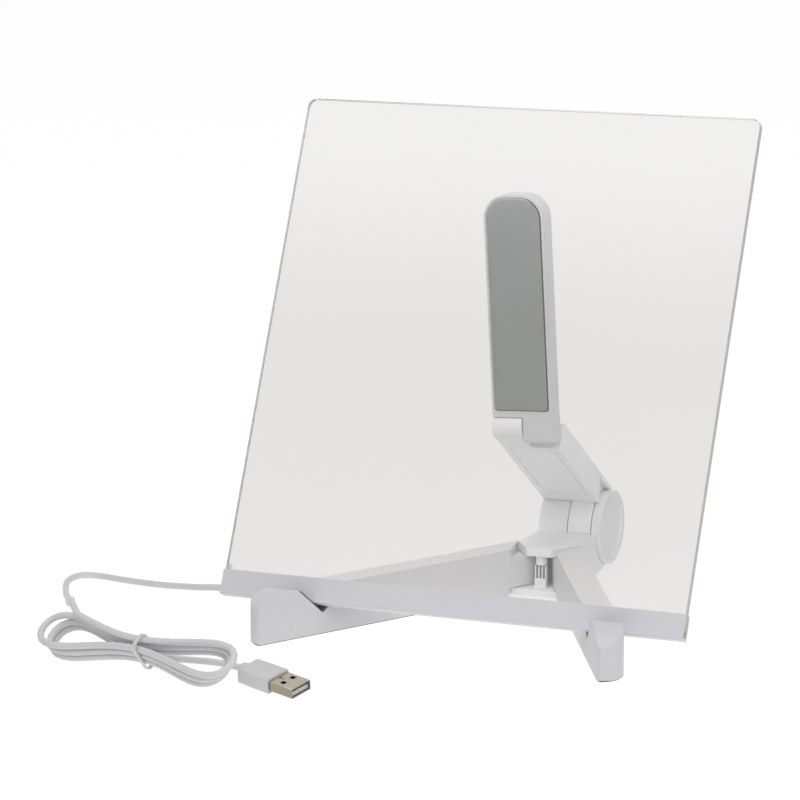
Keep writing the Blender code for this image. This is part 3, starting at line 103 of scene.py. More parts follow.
hank_along = Vector((math.cos(HANK_YAW), math.sin(HANK_YAW), 0))
hank_behind = Vector((-math.sin(HANK_YAW), math.cos(HANK_YAW), 0))
hank_rise = hank_behind * math.cos(HANK_TILT) + Vector((0, 0, math.sin(HANK_TILT)))
hank_stack = -hank_behind * math.sin(HANK_TILT) + Vector((0, 0, math.cos(HANK_TILT)))
hank_centre = HANK_MIDDLE + Vector((0, 0, HANK_END * math.sin(HANK_TILT)
                                    + TURNS / 2 * HANK_STEP * math.cos(HANK_TILT)
                                    + CORD_RADIUS + 0.1 * MM))


def hank_point(turns):
    """Where the cord is, a number of turns after the top of the hank's waist."""
    whole = math.floor(turns)
    share = min(max((turns - whole - 0.5) / CLIMB_SHARE + 0.5, 0.0), 1.0)
    climb = share * share * (3 - 2 * share)
    here = HANK_REACH_SHARES[min(max(whole, 0), TURNS - 1)]
    ahead = HANK_REACH_SHARES[min(max(whole + 1, 0), TURNS - 1)]
    angle = math.pi / 2 - 2 * math.pi * turns
    peak = 2 / (3 * math.sqrt(3))
    belly = (HANK_END - HANK_WAIST / math.sqrt(3)) / peak
    height = math.sin(angle) * (HANK_WAIST + belly * math.cos(angle) ** 2)
    return (hank_centre
            + hank_along * HANK_REACH * (here + (ahead - here) * climb) * math.cos(angle)
            + hank_rise * height + hank_stack * HANK_STEP * (TURNS / 2 - whole - climb))


def smooth_path(points, steps):
    """A smooth line through the points, with a number of steps to each."""
    ends = [2 * points[0] - points[1]] + points + [2 * points[-1] - points[-2]]
    path = []
    for before, here, ahead, after in zip(ends, ends[1:], ends[2:], ends[3:]):
        for step in range(steps):
            t = step / steps
            path.append((2 * here + (ahead - before) * t
                         + (2 * before - 5 * here + 4 * ahead - after) * t ** 2
                         + (3 * here - before - 3 * ahead + after) * t ** 3) / 2)
    return path + [points[-1]]


turn_count = round((TURNS - START_SHARE) * TURN_POINTS)
hank = [hank_point(START_SHARE + (TURNS - START_SHARE) * index / turn_count)
        for index in range(turn_count + 1)]
neck_end = PLUG_NOSE + PLUG_TURN @ Vector((-SHELL_LENGTH - OVERMOULD_LENGTH - NECK_LENGTH
                                           - FIT_GAP, SHELL_WIDTH / 2, SHELL_HEIGHT / 2
                                           - 0.25 * MM))
into_plug = PLUG_TURN @ Vector((1, 0, 0))
leave = (hank[-1] - hank[-2]).normalized()
span = (neck_end - hank[-1]).length
last = hank[-1]
for index in range(1, TAIL_POINTS + 1):
    t = index / TAIL_POINTS
    hank.append((2 * t ** 3 - 3 * t ** 2 + 1) * last + (t ** 3 - 2 * t ** 2 + t) * span * leave
                + (3 * t ** 2 - 2 * t ** 3) * neck_end + (t ** 3 - t ** 2) * span * into_plug)
inner = BOARD_PLACE + BOARD_TURN @ Vector((6.7 * MM - CHANNEL_HALF, CHANNEL_DEPTH / 2,
                                           CORD_LEVEL))
mouth = BOARD_PLACE + BOARD_TURN @ Vector((-4.0 * MM - CHANNEL_HALF, CHANNEL_DEPTH / 2,
                                           CORD_LEVEL))
stand_place = Vector((STAND_SIDE, STAND_SHIFT, 0))
lead = smooth_path([inner, mouth] + [Vector(point) * MM + stand_place for point in LEAD_POINTS]
                   + [hank[0] - (hank[1] - hank[0]).normalized() * 3 * MM], 8)
route = lead + hank

cord_line = bpy.data.curves.new("cord", "CURVE")
cord_line.dimensions = "3D"
cord_line.bevel_depth = CORD_RADIUS
cord_line.bevel_resolution = 5
cord_line.use_fill_caps = True
spline = cord_line.splines.new("POLY")
spline.points.add(len(route) - 1)
for target, point in zip(spline.points, route):
    target.co = (*point, 1.0)
spline.use_smooth = True
cord = bpy.data.objects.new("cord", cord_line)
bpy.context.scene.collection.objects.link(cord)


class Shade:
    """One output in a material's nodes, used in sums as a number is."""

    def __init__(self, tree, socket=None):
        self.tree = tree
        self.socket = socket

    def node(self, kind, settings=None, sockets=None, output=0):
        """Adds a node of a type, with its settings first and then its sockets."""
        made = self.tree.nodes.new("ShaderNode" + kind)
        for name, value in (settings or {}).items():
            if name == "stops":
                ramp = made.color_ramp.elements
                while len(ramp) < len(value):
                    ramp.new(0.5)
                for stop, (place, colour) in zip(ramp, value):
                    stop.position = place
                    stop.color = (*colour, 1.0) if hasattr(colour, "__len__") else \
                        (colour, colour, colour, 1.0)
            else:
                setattr(made, name, value)
        for name, value in (sockets or {}).items():
            if isinstance(value, Shade):
                self.tree.links.new(value.socket, made.inputs[name])
            else:
                made.inputs[name].default_value = value
        return Shade(self.tree, made.outputs[output])

    def sum(self, operation, first, second):
        return self.node("Math", {"operation": operation}, {0: first, 1: second})

    def __add__(self, other):
        return self.sum("ADD", self, other)

    def __radd__(self, other):
        return self.sum("ADD", other, self)

    def __sub__(self, other):
        return self.sum("SUBTRACT", self, other)

    def __rsub__(self, other):
        return self.sum("SUBTRACT", other, self)

    def __mul__(self, other):
        return self.sum("MULTIPLY", self, other)

    def __rmul__(self, other):
        return self.sum("MULTIPLY", other, self)

    def __truediv__(self, other):
        return self.sum("DIVIDE", self, other)

    def __pow__(self, other):
        return self.sum("POWER", self, other)

    def tint(self, dark, light):
        """This value as a share between two colours."""
        pair = [(*c, 1.0) if isinstance(c, tuple) else c for c in (dark, light)]
        return self.node("Mix", {"data_type": "RGBA", "clamp_factor": True},
                         {0: self, 6: pair[0], 7: pair[1]}, 2)

    def noise(self, place, scale, detail=2.0, roughness=0.5):
        return self.node("TexNoise", None, {"Vector": place, "Scale": scale, "Detail": detail,
                                            "Roughness": roughness})

    def bump(self, height, depth, strength=1.0):
        return self.node("Bump", None, {"Height": height, "Distance": depth,
                                        "Strength": strength})


def finish(name):
    """A new material with nothing in it yet, and its tree as a Shade."""
    made = bpy.data.materials.new(name)
    made.use_nodes = True
    made.node_tree.nodes.clear()
    return made, Shade(made.node_tree)


def surface(shade, sockets):
    """Closes a material with one principled surface."""
    end = shade.tree.nodes.new("ShaderNodeOutputMaterial")
    body = shade.node("BsdfPrincipled", None, sockets)
    shade.tree.links.new(body.socket, end.inputs["Surface"])


def dress(piece, look):
    """Puts one material on a whole piece."""
    piece.data.materials.clear()
    piece.data.materials.append(look)
    if piece.type == "MESH":
        for face in piece.data.polygons:
            face.material_index = 0


def speckled(name, dark, light, cloud, roughness, grain=None, metallic=0.0):
    """A look with clouds in its colour and roughness, and a fine grain in its surface."""
    look, shade = finish(name)
    place = shade.node("TexCoord", output=3)
    clouds = shade.noise(place, *cloud)
    smooth, spread = roughness
    sockets = {"Base Color": clouds.tint(dark, light), "Metallic": metallic,
               "Roughness": smooth + spread * clouds if spread else smooth}
    if grain:
        scale, depth, strength = grain
        height = shade.noise(place, scale, 2.0) if scale else clouds
        sockets["Normal"] = shade.bump(height, depth, strength)
    surface(shade, sockets)
    return look


CORD_CLOUD = (90.0, 3.0)
CORD_GRAIN = (2600.0, 0.02 * MM, 0.5)

cord_look = speckled("soft_grey_cord", (0.71, 0.71, 0.72), (0.77, 0.77, 0.78), CORD_CLOUD,
                     (0.38, 0.12), CORD_GRAIN)
dress(cord, cord_look)

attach(cord, "board")
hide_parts("cord_lead", "cord_hank")

tie_look = speckled("pale_plastic_tie", (0.72, 0.72, 0.70), (0.80, 0.80, 0.78), (260.0, 3.0),
                    (0.3, 0.15), (None, 0.03 * MM, 0.5))
dress(nodes["cord_tie"], tie_look)


# ---- Plug overmould ---------------------------------------------------------------------
# A soft block moulded over the shell's end and the wires, slightly narrower at its back,
# with rounded edges and a short collar where the cord comes out.

OVERMOULD_WIDTH = 14.0 * MM
OVERMOULD_HEIGHT = 7.0 * MM
OVERMOULD_LEVEL = 2.0 * MM
OVERMOULD_ROUND = 1.4 * MM
OVERMOULD_TAPER_START = 9.0 * MM
OVERMOULD_TAPER_SHARES = (0.97, 0.97, 1.0)
OVERMOULD_EDGE = 0.7 * MM
COLLAR_RADIUS = 3.1 * MM
COLLAR_STEP = 1.4 * MM
COLLAR_TAPER_SHARES = (0.86, 0.86, 1.0)
ALONG_PLUG = Matrix(((0, 0, 1), (1, 0, 0), (0, 1, 0))).to_4x4()

plug_place = Matrix.Translation(PLUG_NOSE) @ PLUG_TURN.to_4x4()


def begin(name, kind, **settings):
    """Adds one primitive alone in the selection, and opens it for editing."""
    bpy.ops.object.select_all(action="DESELECT")
    getattr(bpy.ops.mesh, "primitive_" + kind + "_add")(**settings)
    bpy.context.object.name = name
    bpy.ops.object.mode_set(mode="EDIT")
    bpy.ops.mesh.select_all(action="SELECT")
    return bpy.context.object


def pick(piece, kind, test):
    """Selects the faces, edges or points of an open piece that pass a test."""
    bpy.ops.mesh.select_mode(type=kind)
    bpy.ops.mesh.select_all(action="DESELECT")
    work = bmesh.from_edit_mesh(piece.data)
    for part in {"FACE": work.faces, "EDGE": work.edges, "VERT": work.verts}[kind]:
        if test(part):
            part.select_set(True)
    work.select_flush_mode()
    bmesh.update_edit_mesh(piece.data)


def shift(side, along, up, centre=None, scale=None):
    """Moves what is selected, after a change of its size about a centre."""
    if scale:
        bpy.ops.transform.resize(value=scale, center_override=centre)
    bpy.ops.transform.translate(value=(side, along, up))


def extrude(side, along, up):
    bpy.ops.mesh.extrude_region_move(TRANSFORM_OT_translate={"value": (side, along, up)})


def settle(piece, place, angle=30):
    """Closes a piece, moves its mesh to its place and smooths its gentle edges."""
    bpy.ops.mesh.select_mode(type="FACE")
    bpy.ops.mesh.select_all(action="SELECT")
    bpy.ops.mesh.normals_make_consistent(inside=False)
    bpy.ops.object.mode_set(mode="OBJECT")
    piece.matrix_world = place
    bpy.ops.object.transform_apply(location=True, rotation=True, scale=True)
    bpy.ops.object.shade_smooth_by_angle(angle=math.radians(angle))


def work_in(piece, kind, **settings):
    """Adds a modifier to a piece and applies it."""
    modifier = piece.modifiers.new(kind.lower(), kind)
    for name, value in settings.items():
        setattr(modifier, name, value)
    bpy.ops.object.modifier_apply(modifier=modifier.name)


def open_edge(edge):
    return len(edge.link_faces) < 2


overmould = begin("plug_block", "plane", size=1)
centre = (SHELL_WIDTH / 2, OVERMOULD_LEVEL, 0)
shift(*centre[:2], -SHELL_LENGTH, (0, 0, 0), (OVERMOULD_WIDTH, OVERMOULD_HEIGHT, 1))
bpy.ops.mesh.bevel(offset=OVERMOULD_ROUND, segments=6, affect="VERTICES")
bpy.ops.mesh.select_all(action="SELECT")
extrude(0, 0, -OVERMOULD_TAPER_START)
extrude(0, 0, OVERMOULD_TAPER_START - OVERMOULD_LENGTH)
bpy.ops.transform.resize(value=OVERMOULD_TAPER_SHARES, center_override=centre)
bpy.ops.mesh.delete(type="ONLY_FACE")
bpy.ops.mesh.primitive_circle_add(
    vertices=28, radius=COLLAR_RADIUS,
    location=(*centre[:2], -SHELL_LENGTH - OVERMOULD_LENGTH))
pick(overmould, "EDGE", open_edge)
bpy.ops.mesh.bridge_edge_loops()
pick(overmould, "EDGE", open_edge)
extrude(0, 0, -COLLAR_STEP)
extrude(0, 0, COLLAR_STEP - NECK_LENGTH)
bpy.ops.transform.resize(value=COLLAR_TAPER_SHARES, center_override=centre)
bpy.ops.mesh.edge_face_add()
settle(overmould, plug_place @ ALONG_PLUG)
work_in(overmould, "BEVEL", width=OVERMOULD_EDGE, segments=4, limit_method="ANGLE",
        angle_limit=math.radians(35))
bpy.ops.object.shade_smooth_by_angle(angle=math.radians(30))
overmould_look = speckled("soft_grey_overmould", (0.66, 0.66, 0.67), (0.71, 0.71, 0.72),
                          CORD_CLOUD, (0.4, 0.12), CORD_GRAIN)
dress(overmould, overmould_look)
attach(overmould, "board")
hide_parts("plug_overmould")


# ---- Plug shell and tongue --------------------------------------------------------------
# A pressed and plated steel shell with two square latch windows and a small spring mark,
# and the white plastic tongue with its four contacts inside it.

SHELL_HIDDEN = 1.0 * MM
SHELL_ROUND = 0.5 * MM
SHELL_WALL = 0.4 * MM
WINDOW_SETBACK = 7.2 * MM
WINDOW_HALF = 1.15 * MM
WINDOW_OFFSET = 3.0 * MM
SLOT_SETBACK = 11.4 * MM
SLOT_SIDE = 5.8 * MM
SLOT_HALVES = (0.36 * MM, 0.9 * MM)
PIP_SETBACK = 10.2 * MM
PIP_SIDE = 6.2 * MM
PIP_HALVES = (0.45 * MM, 0.5 * MM)
PIP_RISE = 0.25 * MM
CONTACT_LEVEL = 2.55 * MM
PAINTED_SHADE_DEPTH = 4.5 * MM

shell = begin("plug_case", "cube", size=1)
shell_centre = Vector(((-SHELL_LENGTH - SHELL_HIDDEN) / 2, SHELL_WIDTH / 2, SHELL_HEIGHT / 2))
shift(*shell_centre, (0, 0, 0), (SHELL_LENGTH + SHELL_HIDDEN, SHELL_WIDTH, SHELL_HEIGHT))
pick(shell, "EDGE", lambda edge: abs((edge.verts[0].co - edge.verts[1].co).x) > SHELL_HEIGHT * 2)
bpy.ops.mesh.bevel(offset=SHELL_ROUND, segments=4)
pick(shell, "FACE", lambda face: abs(face.normal.x) > 0.9)
bpy.ops.mesh.delete(type="FACE")
marks = ((WINDOW_SETBACK, SHELL_WIDTH / 2 - WINDOW_OFFSET, WINDOW_HALF, WINDOW_HALF),
         (WINDOW_SETBACK, SHELL_WIDTH / 2 + WINDOW_OFFSET, WINDOW_HALF, WINDOW_HALF),
         (SLOT_SETBACK, SLOT_SIDE, *SLOT_HALVES), (PIP_SETBACK, PIP_SIDE, *PIP_HALVES))
for along, side, half_long, half_wide in marks:
    for sign in (-1, 1):
        bpy.ops.mesh.select_all(action="SELECT")
        bpy.ops.mesh.bisect(plane_co=(-along + sign * half_long, 0, 0), plane_no=(1, 0, 0))
        bpy.ops.mesh.select_all(action="SELECT")
        bpy.ops.mesh.bisect(plane_co=(0, side + sign * half_wide, 0), plane_no=(0, 1, 0))


def inside_mark(face, along, side, half_long, half_wide):
    middle = face.calc_center_median()
    return (abs(middle.x + along) < half_long and abs(middle.y - side) < half_wide
            and middle.z > SHELL_HEIGHT - SHELL_WALL)


pick(shell, "FACE", lambda face: inside_mark(face, *marks[3]))
extrude(0, 0, PIP_RISE)
pick(shell, "FACE", lambda face: any(inside_mark(face, *mark) for mark in marks[:3]))
bpy.ops.mesh.delete(type="FACE")
settle(shell, plug_place)
work_in(shell, "SOLIDIFY", thickness=SHELL_WALL, offset=-1, use_even_offset=True)
work_in(shell, "BEVEL", width=SHELL_WALL / 5, segments=2, limit_method="ANGLE",
        angle_limit=math.radians(40))
bpy.ops.object.shade_smooth_by_angle(angle=math.radians(30))

plug_up = tuple(PLUG_TURN @ Vector((0, 0, 1)))
plug_ahead = tuple(PLUG_TURN @ Vector((1, 0, 0)))
plug_side = tuple(PLUG_TURN @ Vector((0, 1, 0)))


def along_axis(shade, value, axis, start=0.0):
    """How far a point or a normal reaches along an axis, from a start."""
    return shade.node("VectorMath", {"operation": "DOT_PRODUCT"},
                      {0: value, 1: axis}, 1) - start


plated_look, shade = finish("warm_plated_steel")
place = shade.node("TexCoord", output=3)
cloud = shade.noise(place, 400.0, 3.0)
# Painted light: the shell is painted lighter the more a face looks up, over a faint random
# cloud.
upward = along_axis(shade, shade.node("TexCoord", output=1), plug_up, 0.2)
tint_and_painted_top_light = (0.8 * upward + 0.3 * cloud).tint((0.35, 0.305, 0.245), (0.43, 0.40, 0.325))
# Painted shade: the shell's inner faces, inside its wall, are painted dark brown, less metallic
# and rougher, as shade inside the plug's mouth.
off_level = shade.sum("ABSOLUTE", along_axis(
    shade, place, plug_up, PLUG_NOSE.dot(Vector(plug_up)) + SHELL_HEIGHT / 2), 0.0)
off_side = shade.sum("ABSOLUTE", along_axis(
    shade, place, plug_side, PLUG_NOSE.dot(Vector(plug_side)) + SHELL_WIDTH / 2), 0.0)
inner_painted_shade = (shade.sum("LESS_THAN", off_level, SHELL_HEIGHT / 2 - 0.95 * SHELL_WALL)
          * shade.sum("LESS_THAN", off_side, SHELL_WIDTH / 2 - 0.95 * SHELL_WALL))
surface(shade, {"Base Color": inner_painted_shade.tint(tint_and_painted_top_light, (0.20, 0.185, 0.16)),
                "Metallic": 1.0 - 0.8 * inner_painted_shade, "Roughness": 0.24 + 0.14 * cloud + 0.4 * inner_painted_shade})
dress(shell, plated_look)
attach(shell, "board")
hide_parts("plug_shell")

tongue_look, shade = finish("plug_tongue_plastic")
place = shade.node("TexCoord", output=3)
cloud = shade.noise(place, 500.0, 2.0)
# Painted shade: the tongue is painted near black where it lies more than a set depth behind the
# plug's nose.
depth = 0.0 - along_axis(shade, place, plug_ahead, PLUG_NOSE.dot(Vector(plug_ahead)))
painted_deep_shade = shade.sum("GREATER_THAN", depth, PAINTED_SHADE_DEPTH)
raised = shade.sum("GREATER_THAN",
                   along_axis(shade, place, plug_up, PLUG_NOSE.dot(Vector(plug_up))),
                   CONTACT_LEVEL)
plastic = cloud.tint((0.62, 0.62, 0.63), (0.72, 0.72, 0.73))
surface(shade, {"Base Color": raised.tint(painted_deep_shade.tint(plastic, (0.02, 0.02, 0.02)),
                                          (0.75, 0.58, 0.28)),
                "Metallic": raised, "Roughness": 0.3 + 0.2 * cloud})
dress(nodes["plug_tongue"], tongue_look)


# ---- Acrylic sheet ----------------------------------------------------------------------
# A clear cast acrylic sheet with polished edges, faintly grey where light passes through
# it and painted lighter towards its top as a painted reflection, and a painted cool glint
# where its lower corner meets the channel's end.

SHEET_TOP = 231 * MM
SHEET_MIDDLE = 120 * MM
EDGE_ROUND = 0.25 * MM
PAINTED_GLINT_PLACE = tuple(BOARD_PLACE + BOARD_TURN @ Vector((-109.0 * MM, 1.1 * MM, 12.6 * MM)))
PAINTED_GLINT_RADIUS = 2.2 * MM
PAINTED_GLINT_SHARE = 0.65
EDGE_TURN = 0.4


def round_mark(shade, place, centre, radius, core):
    """A share of one near a centre, that fades from a core's share of the radius to none."""
    away = shade.node("VectorMath", {"operation": "DISTANCE"}, {0: place, 1: centre}, 1)
    return shade.node("MapRange", None, {"Value": away, "From Min": radius * core,
                                         "From Max": radius, "To Min": 1.0, "To Max": 0.0})


acrylic_look, shade = finish("clear_acrylic")
place = shade.node("TexCoord", output=3)
facing = shade.node("TexCoord", output=1)
across = shade.sum("ABSOLUTE", along_axis(shade, facing, (1, 0, 0)), 0.0)
upward = along_axis(shade, facing, tuple(BOARD_TURN @ Vector((0, 0, 1))))
height = shade.node("SeparateXYZ", None, {0: place}, 2)
# Painted reflection: the sheet's faint grey is painted lighter from its middle up to its top, as
# a soft reflection of light.
painted_reflection_rise = shade.node("MapRange", {"interpolation_type": "SMOOTHSTEP"},
                  {"Value": height, "From Min": SHEET_MIDDLE, "From Max": SHEET_TOP})
cloud = shade.noise(place, 9.0, 2.0)
body_tint_and_painted_reflection = (painted_reflection_rise + 0.15 * cloud).tint((0.852, 0.843, 0.826), (0.998, 0.992, 0.985))
sheet_body = shade.node("BsdfPrincipled", None, {
    "Base Color": body_tint_and_painted_reflection, "Roughness": 0.02, "IOR": 1.49, "Transmission Weight": 1.0})
# Painted glint: a cool blue-white spot is painted on the sheet's lower left corner, fully on its
# edges and partly on its face.
painted_glint = round_mark(shade, place, PAINTED_GLINT_PLACE, PAINTED_GLINT_RADIUS, 0.5)
edge_tint_and_painted_glint = painted_glint.tint(cloud.tint((0.53, 0.515, 0.44), (0.61, 0.595, 0.515)),
                       (0.38, 0.70, 0.83))
polished = shade.node("BsdfPrincipled", None, {
    "Base Color": edge_tint_and_painted_glint, "Roughness": 0.2, "IOR": 1.49, "Transmission Weight": 0.1})
is_edge = shade.sum("GREATER_THAN", shade.sum("MAXIMUM", across, upward), EDGE_TURN)
glassy = shade.node("MixShader", None, {0: shade.sum("MAXIMUM", is_edge, PAINTED_GLINT_SHARE * painted_glint),
                                        1: sheet_body, 2: polished})
clear = shade.node("BsdfTransparent", None, {"Color": (0.97, 0.972, 0.97, 1.0)})
shadow = shade.node("LightPath", output=1)
mixed = shade.node("MixShader", None, {0: shadow, 1: glassy, 2: clear})
end = shade.tree.nodes.new("ShaderNodeOutputMaterial")
shade.tree.links.new(mixed.socket, end.inputs["Surface"])
dress(nodes["acrylic_sheet"], acrylic_look)


def soften(piece, width, segments=2, angle=35):
    """Rounds the sharp edges of a CAD piece with modifiers that stay on it."""
    weld = piece.modifiers.new("weld", "WELD")
    weld.merge_threshold = 0.002 * MM
    flat = piece.modifiers.new("flat", "DECIMATE")
    flat.decimate_type = "DISSOLVE"
    flat.angle_limit = math.radians(0.5)
    bevel = piece.modifiers.new("bevel", "BEVEL")
    bevel.width = width
    bevel.segments = segments
    bevel.limit_method = "ANGLE"
    bevel.angle_limit = math.radians(angle)
    bevel.harden_normals = True
    bevel.miter_outer = "MITER_ARC"


soften(nodes["acrylic_sheet"], EDGE_ROUND)


# ---- Light channel ----------------------------------------------------------------------
# A slim U of satin white plastic, extruded and cut to length, that holds the sheet's foot
# and the light strip under it.

channel_look = speckled("satin_white_channel", (0.735, 0.73, 0.765), (0.77, 0.765, 0.80),
                        (60.0, 3.0), (0.36, 0.1), (1800.0, 0.02 * MM, 0.4))
dress(nodes["light_channel"], channel_look)
soften(nodes["light_channel"], EDGE_ROUND)


# ---- Light strip ------------------------------------------------------------------------
# A narrow circuit board with a row of small lights that shine up into the sheet's edge,
# and the terminal where the cord's wires are fixed.

strip_look = speckled("light_strip_board", (0.74, 0.73, 0.64), (0.82, 0.81, 0.74), (300.0, 2.0),
                      (0.45, 0.0))
dress(nodes["light_strip"], strip_look)
dress(nodes["wire_terminal"], strip_look)


# ---- Stand plastic ----------------------------------------------------------------------
# The stand's hub, legs and arms are moulded in one fine matt pale grey plastic, with a
# light spark texture from the mould. Its tone differs from piece to piece as painted light
# and shade: lighter on the hub, knuckle and lower arm, darker on the legs and upper arm.

PLASTIC_EDGE = 0.3 * MM
LEG_EDGE = 0.6 * MM
SEAM_EDGE = 0.05 * MM
# Painted light and shade: one plastic, given a lighter tone on the hub, knuckle and lower arm
# and a darker one on the legs and upper arm, for how light falls on each.
LEG_PAINTED_LIGHT_TONE = (0.735, 0.737, 0.75)
HUB_PAINTED_LIGHT_TONE = (0.875, 0.885, 0.905)
LOWER_ARM_PAINTED_LIGHT_TONE = (0.92, 0.93, 0.95)
UPPER_ARM_PAINTED_LIGHT_TONE = (0.695, 0.70, 0.72)
TONE_SHARES = (0.97, 1.03)
MARK_TONE = 0.88
EJECTOR_PLACE = (-69.4 * MM, -90.9 * MM, 5.2 * MM)
EJECTOR_RADIUS = 1.0 * MM


def moulded(name, tone, marks=(), mark_radius=MM):
    """A look in the stand's plastic, in a tone, with round marks left by the mould."""
    look, shade = finish(name)
    place = shade.node("TexCoord", output=3)
    cloud = shade.noise(place, 45.0, 3.0)
    relief = shade.noise(place, 3200.0, 3.0)
    colour = cloud.tint(*(tuple(share * part for part in tone) for share in TONE_SHARES))
    for mark in marks:
        dot = round_mark(shade, place, mark, mark_radius, 0.6)
        colour = dot.tint(colour, tuple(MARK_TONE * part for part in tone))
        relief = relief - dot
    surface(shade, {"Base Color": colour, "Roughness": 0.46 + 0.08 * cloud,
                    "Normal": shade.bump(relief, 0.03 * MM, 0.5)})
    return look


for look, parts, edge, steps in (
        (moulded("leg_plastic", LEG_PAINTED_LIGHT_TONE, (EJECTOR_PLACE,), EJECTOR_RADIUS),
         ("left_leg", "right_leg"), LEG_EDGE, 3),
        (moulded("hub_plastic", HUB_PAINTED_LIGHT_TONE), ("hub_base_plate",), PLASTIC_EDGE, 2),
        (moulded("knuckle_plastic", HUB_PAINTED_LIGHT_TONE), ("hub_body",), SEAM_EDGE, 2),
        (moulded("lower_arm_plastic", LOWER_ARM_PAINTED_LIGHT_TONE),
         ("lower_arm_shell", "lower_arm_cover"), SEAM_EDGE, 2),
        (moulded("upper_arm_plastic", UPPER_ARM_PAINTED_LIGHT_TONE), ("upper_arm_shell",), PLASTIC_EDGE, 2),
        (moulded("upper_cover_plastic", UPPER_ARM_PAINTED_LIGHT_TONE), ("upper_arm_cover",), SEAM_EDGE, 2)):
    for name in parts:
        dress(nodes[name], look)
        soften(nodes[name], edge, steps)


# ---- Knuckle cap ------------------------------------------------------------------------
# A round moulded cap on the knuckle's right end, with a rounded rim round a deep flat
# dish, and two small gate marks left by the mould in the dish.

KNUCKLE_PLACE = Vector((2.3 * MM, 88.5083 * MM, 22.7 * MM))
CAP_INNER = 11.9 * MM
CAP_OUTER = 16.4 * MM
CAP_RADIUS = 17.8 * MM
CAP_RIM = 2.7 * MM
CAP_DISH = 1.7 * MM
CAP_DRAFT = 0.3 * MM
CAP_EDGE = 0.55 * MM
GATE_MARKS = ((5.1 * MM, 2.7 * MM), (6.1 * MM, -2.4 * MM))
GATE_RADIUS = 0.4 * MM
# Painted light: the cap is the stand's plastic, given a lighter tone than the legs for how light
# falls on it.
CAP_PAINTED_LIGHT_TONE = (0.86, 0.87, 0.89)

cap = begin("round_cap", "cylinder", vertices=96, radius=CAP_RADIUS,
            depth=CAP_OUTER - CAP_INNER)
shift(0, 0, (CAP_OUTER + CAP_INNER) / 2)
pick(cap, "FACE", lambda face: face.normal.z > 0.9)
bpy.ops.mesh.inset(thickness=CAP_RIM)
bpy.ops.mesh.inset(thickness=CAP_DRAFT, depth=-CAP_DISH)
settle(cap, Matrix.Translation(KNUCKLE_PLACE) @ Matrix.Rotation(math.radians(90), 4, "Y"))
work_in(cap, "BEVEL", width=CAP_EDGE, segments=4, limit_method="ANGLE",
        angle_limit=math.radians(35))
bpy.ops.object.shade_smooth_by_angle(angle=math.radians(30))

gates = [tuple(KNUCKLE_PLACE + Vector((CAP_OUTER - CAP_DISH, side, up)))
         for side, up in GATE_MARKS]
dress(cap, moulded("cap_plastic", CAP_PAINTED_LIGHT_TONE, gates, GATE_RADIUS))
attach(cap, "lower_arm")
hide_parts("knuckle_cap")


# ---- Rubber parts -----------------------------------------------------------------------
# Dark rubber soles and pads under the stand, and the linings in the two notches.

RUBBER_CLOUD = (200.0, 3.0)
RUBBER_GRAIN = (2400.0, 0.05 * MM, 0.6)

lining_look = speckled("grey_rubber_lining", (0.09, 0.095, 0.09), (0.13, 0.135, 0.13),
                       RUBBER_CLOUD, (0.6, 0.1), RUBBER_GRAIN)
rubber_look = speckled("dark_rubber", (0.025, 0.025, 0.026), (0.05, 0.05, 0.05), RUBBER_CLOUD,
                       (0.72, 0.1), RUBBER_GRAIN)
for name, look in (("left_notch_lining", lining_look), ("right_notch_lining", lining_look),
                   ("hub_foot_pad", rubber_look), ("left_sole", rubber_look),
                   ("right_sole", rubber_look)):
    dress(nodes[name], look)


# ---- Arm pad ----------------------------------------------------------------------------
# A strip of soft foam rubber in the upper arm's front that the sheet leans on: a rounded
# raised border, a fine line inside it, and a low crown between. The border is painted
# lighter as a highlight, with a painted shadow line where it faces right or down.

ELBOW_PLACE = Vector((2.3 * MM, 16.122 * MM, 83.752 * MM))
ARM_ROLL = math.radians(-2.7)
ARM_TURN = math.radians(-89.037)
PAD_HALF_WIDTH = 13.1 * MM
PAD_LOW = -8.3 * MM
PAD_HIGH = -106.7 * MM
PAD_BACK = -4.3 * MM
PAD_SIDE_WALL = 1.25 * MM
PAD_TOP_ROUND = 9.6 * MM
PAD_LOW_ROUND = 1.5 * MM
PAD_RINGS = ((0.3 * MM, 0.28 * MM), (0.45 * MM, 0.1 * MM), (0.15 * MM, -0.16 * MM),
             (0.2 * MM, 0.12 * MM))
PAD_BORDER_LEVEL = -5.86 * MM
PAD_PAINTED_SHADOW_LEVEL = -5.82 * MM
PAD_PAINTED_SHADOW_TURN = 0.3
PAD_COLUMNS = (-9.5 * MM, -5.5 * MM, 0, 5.5 * MM, 9.5 * MM)
PAD_ROWS = (-13 * MM, -22 * MM, -40 * MM, -60 * MM, -80 * MM, -93 * MM, -101 * MM)
PAD_CROWN = ((9.6 * MM, -101.1 * MM, -12.9 * MM, 0.12 * MM),
             (5.6 * MM, -93.1 * MM, -21.9 * MM, 0.08 * MM))

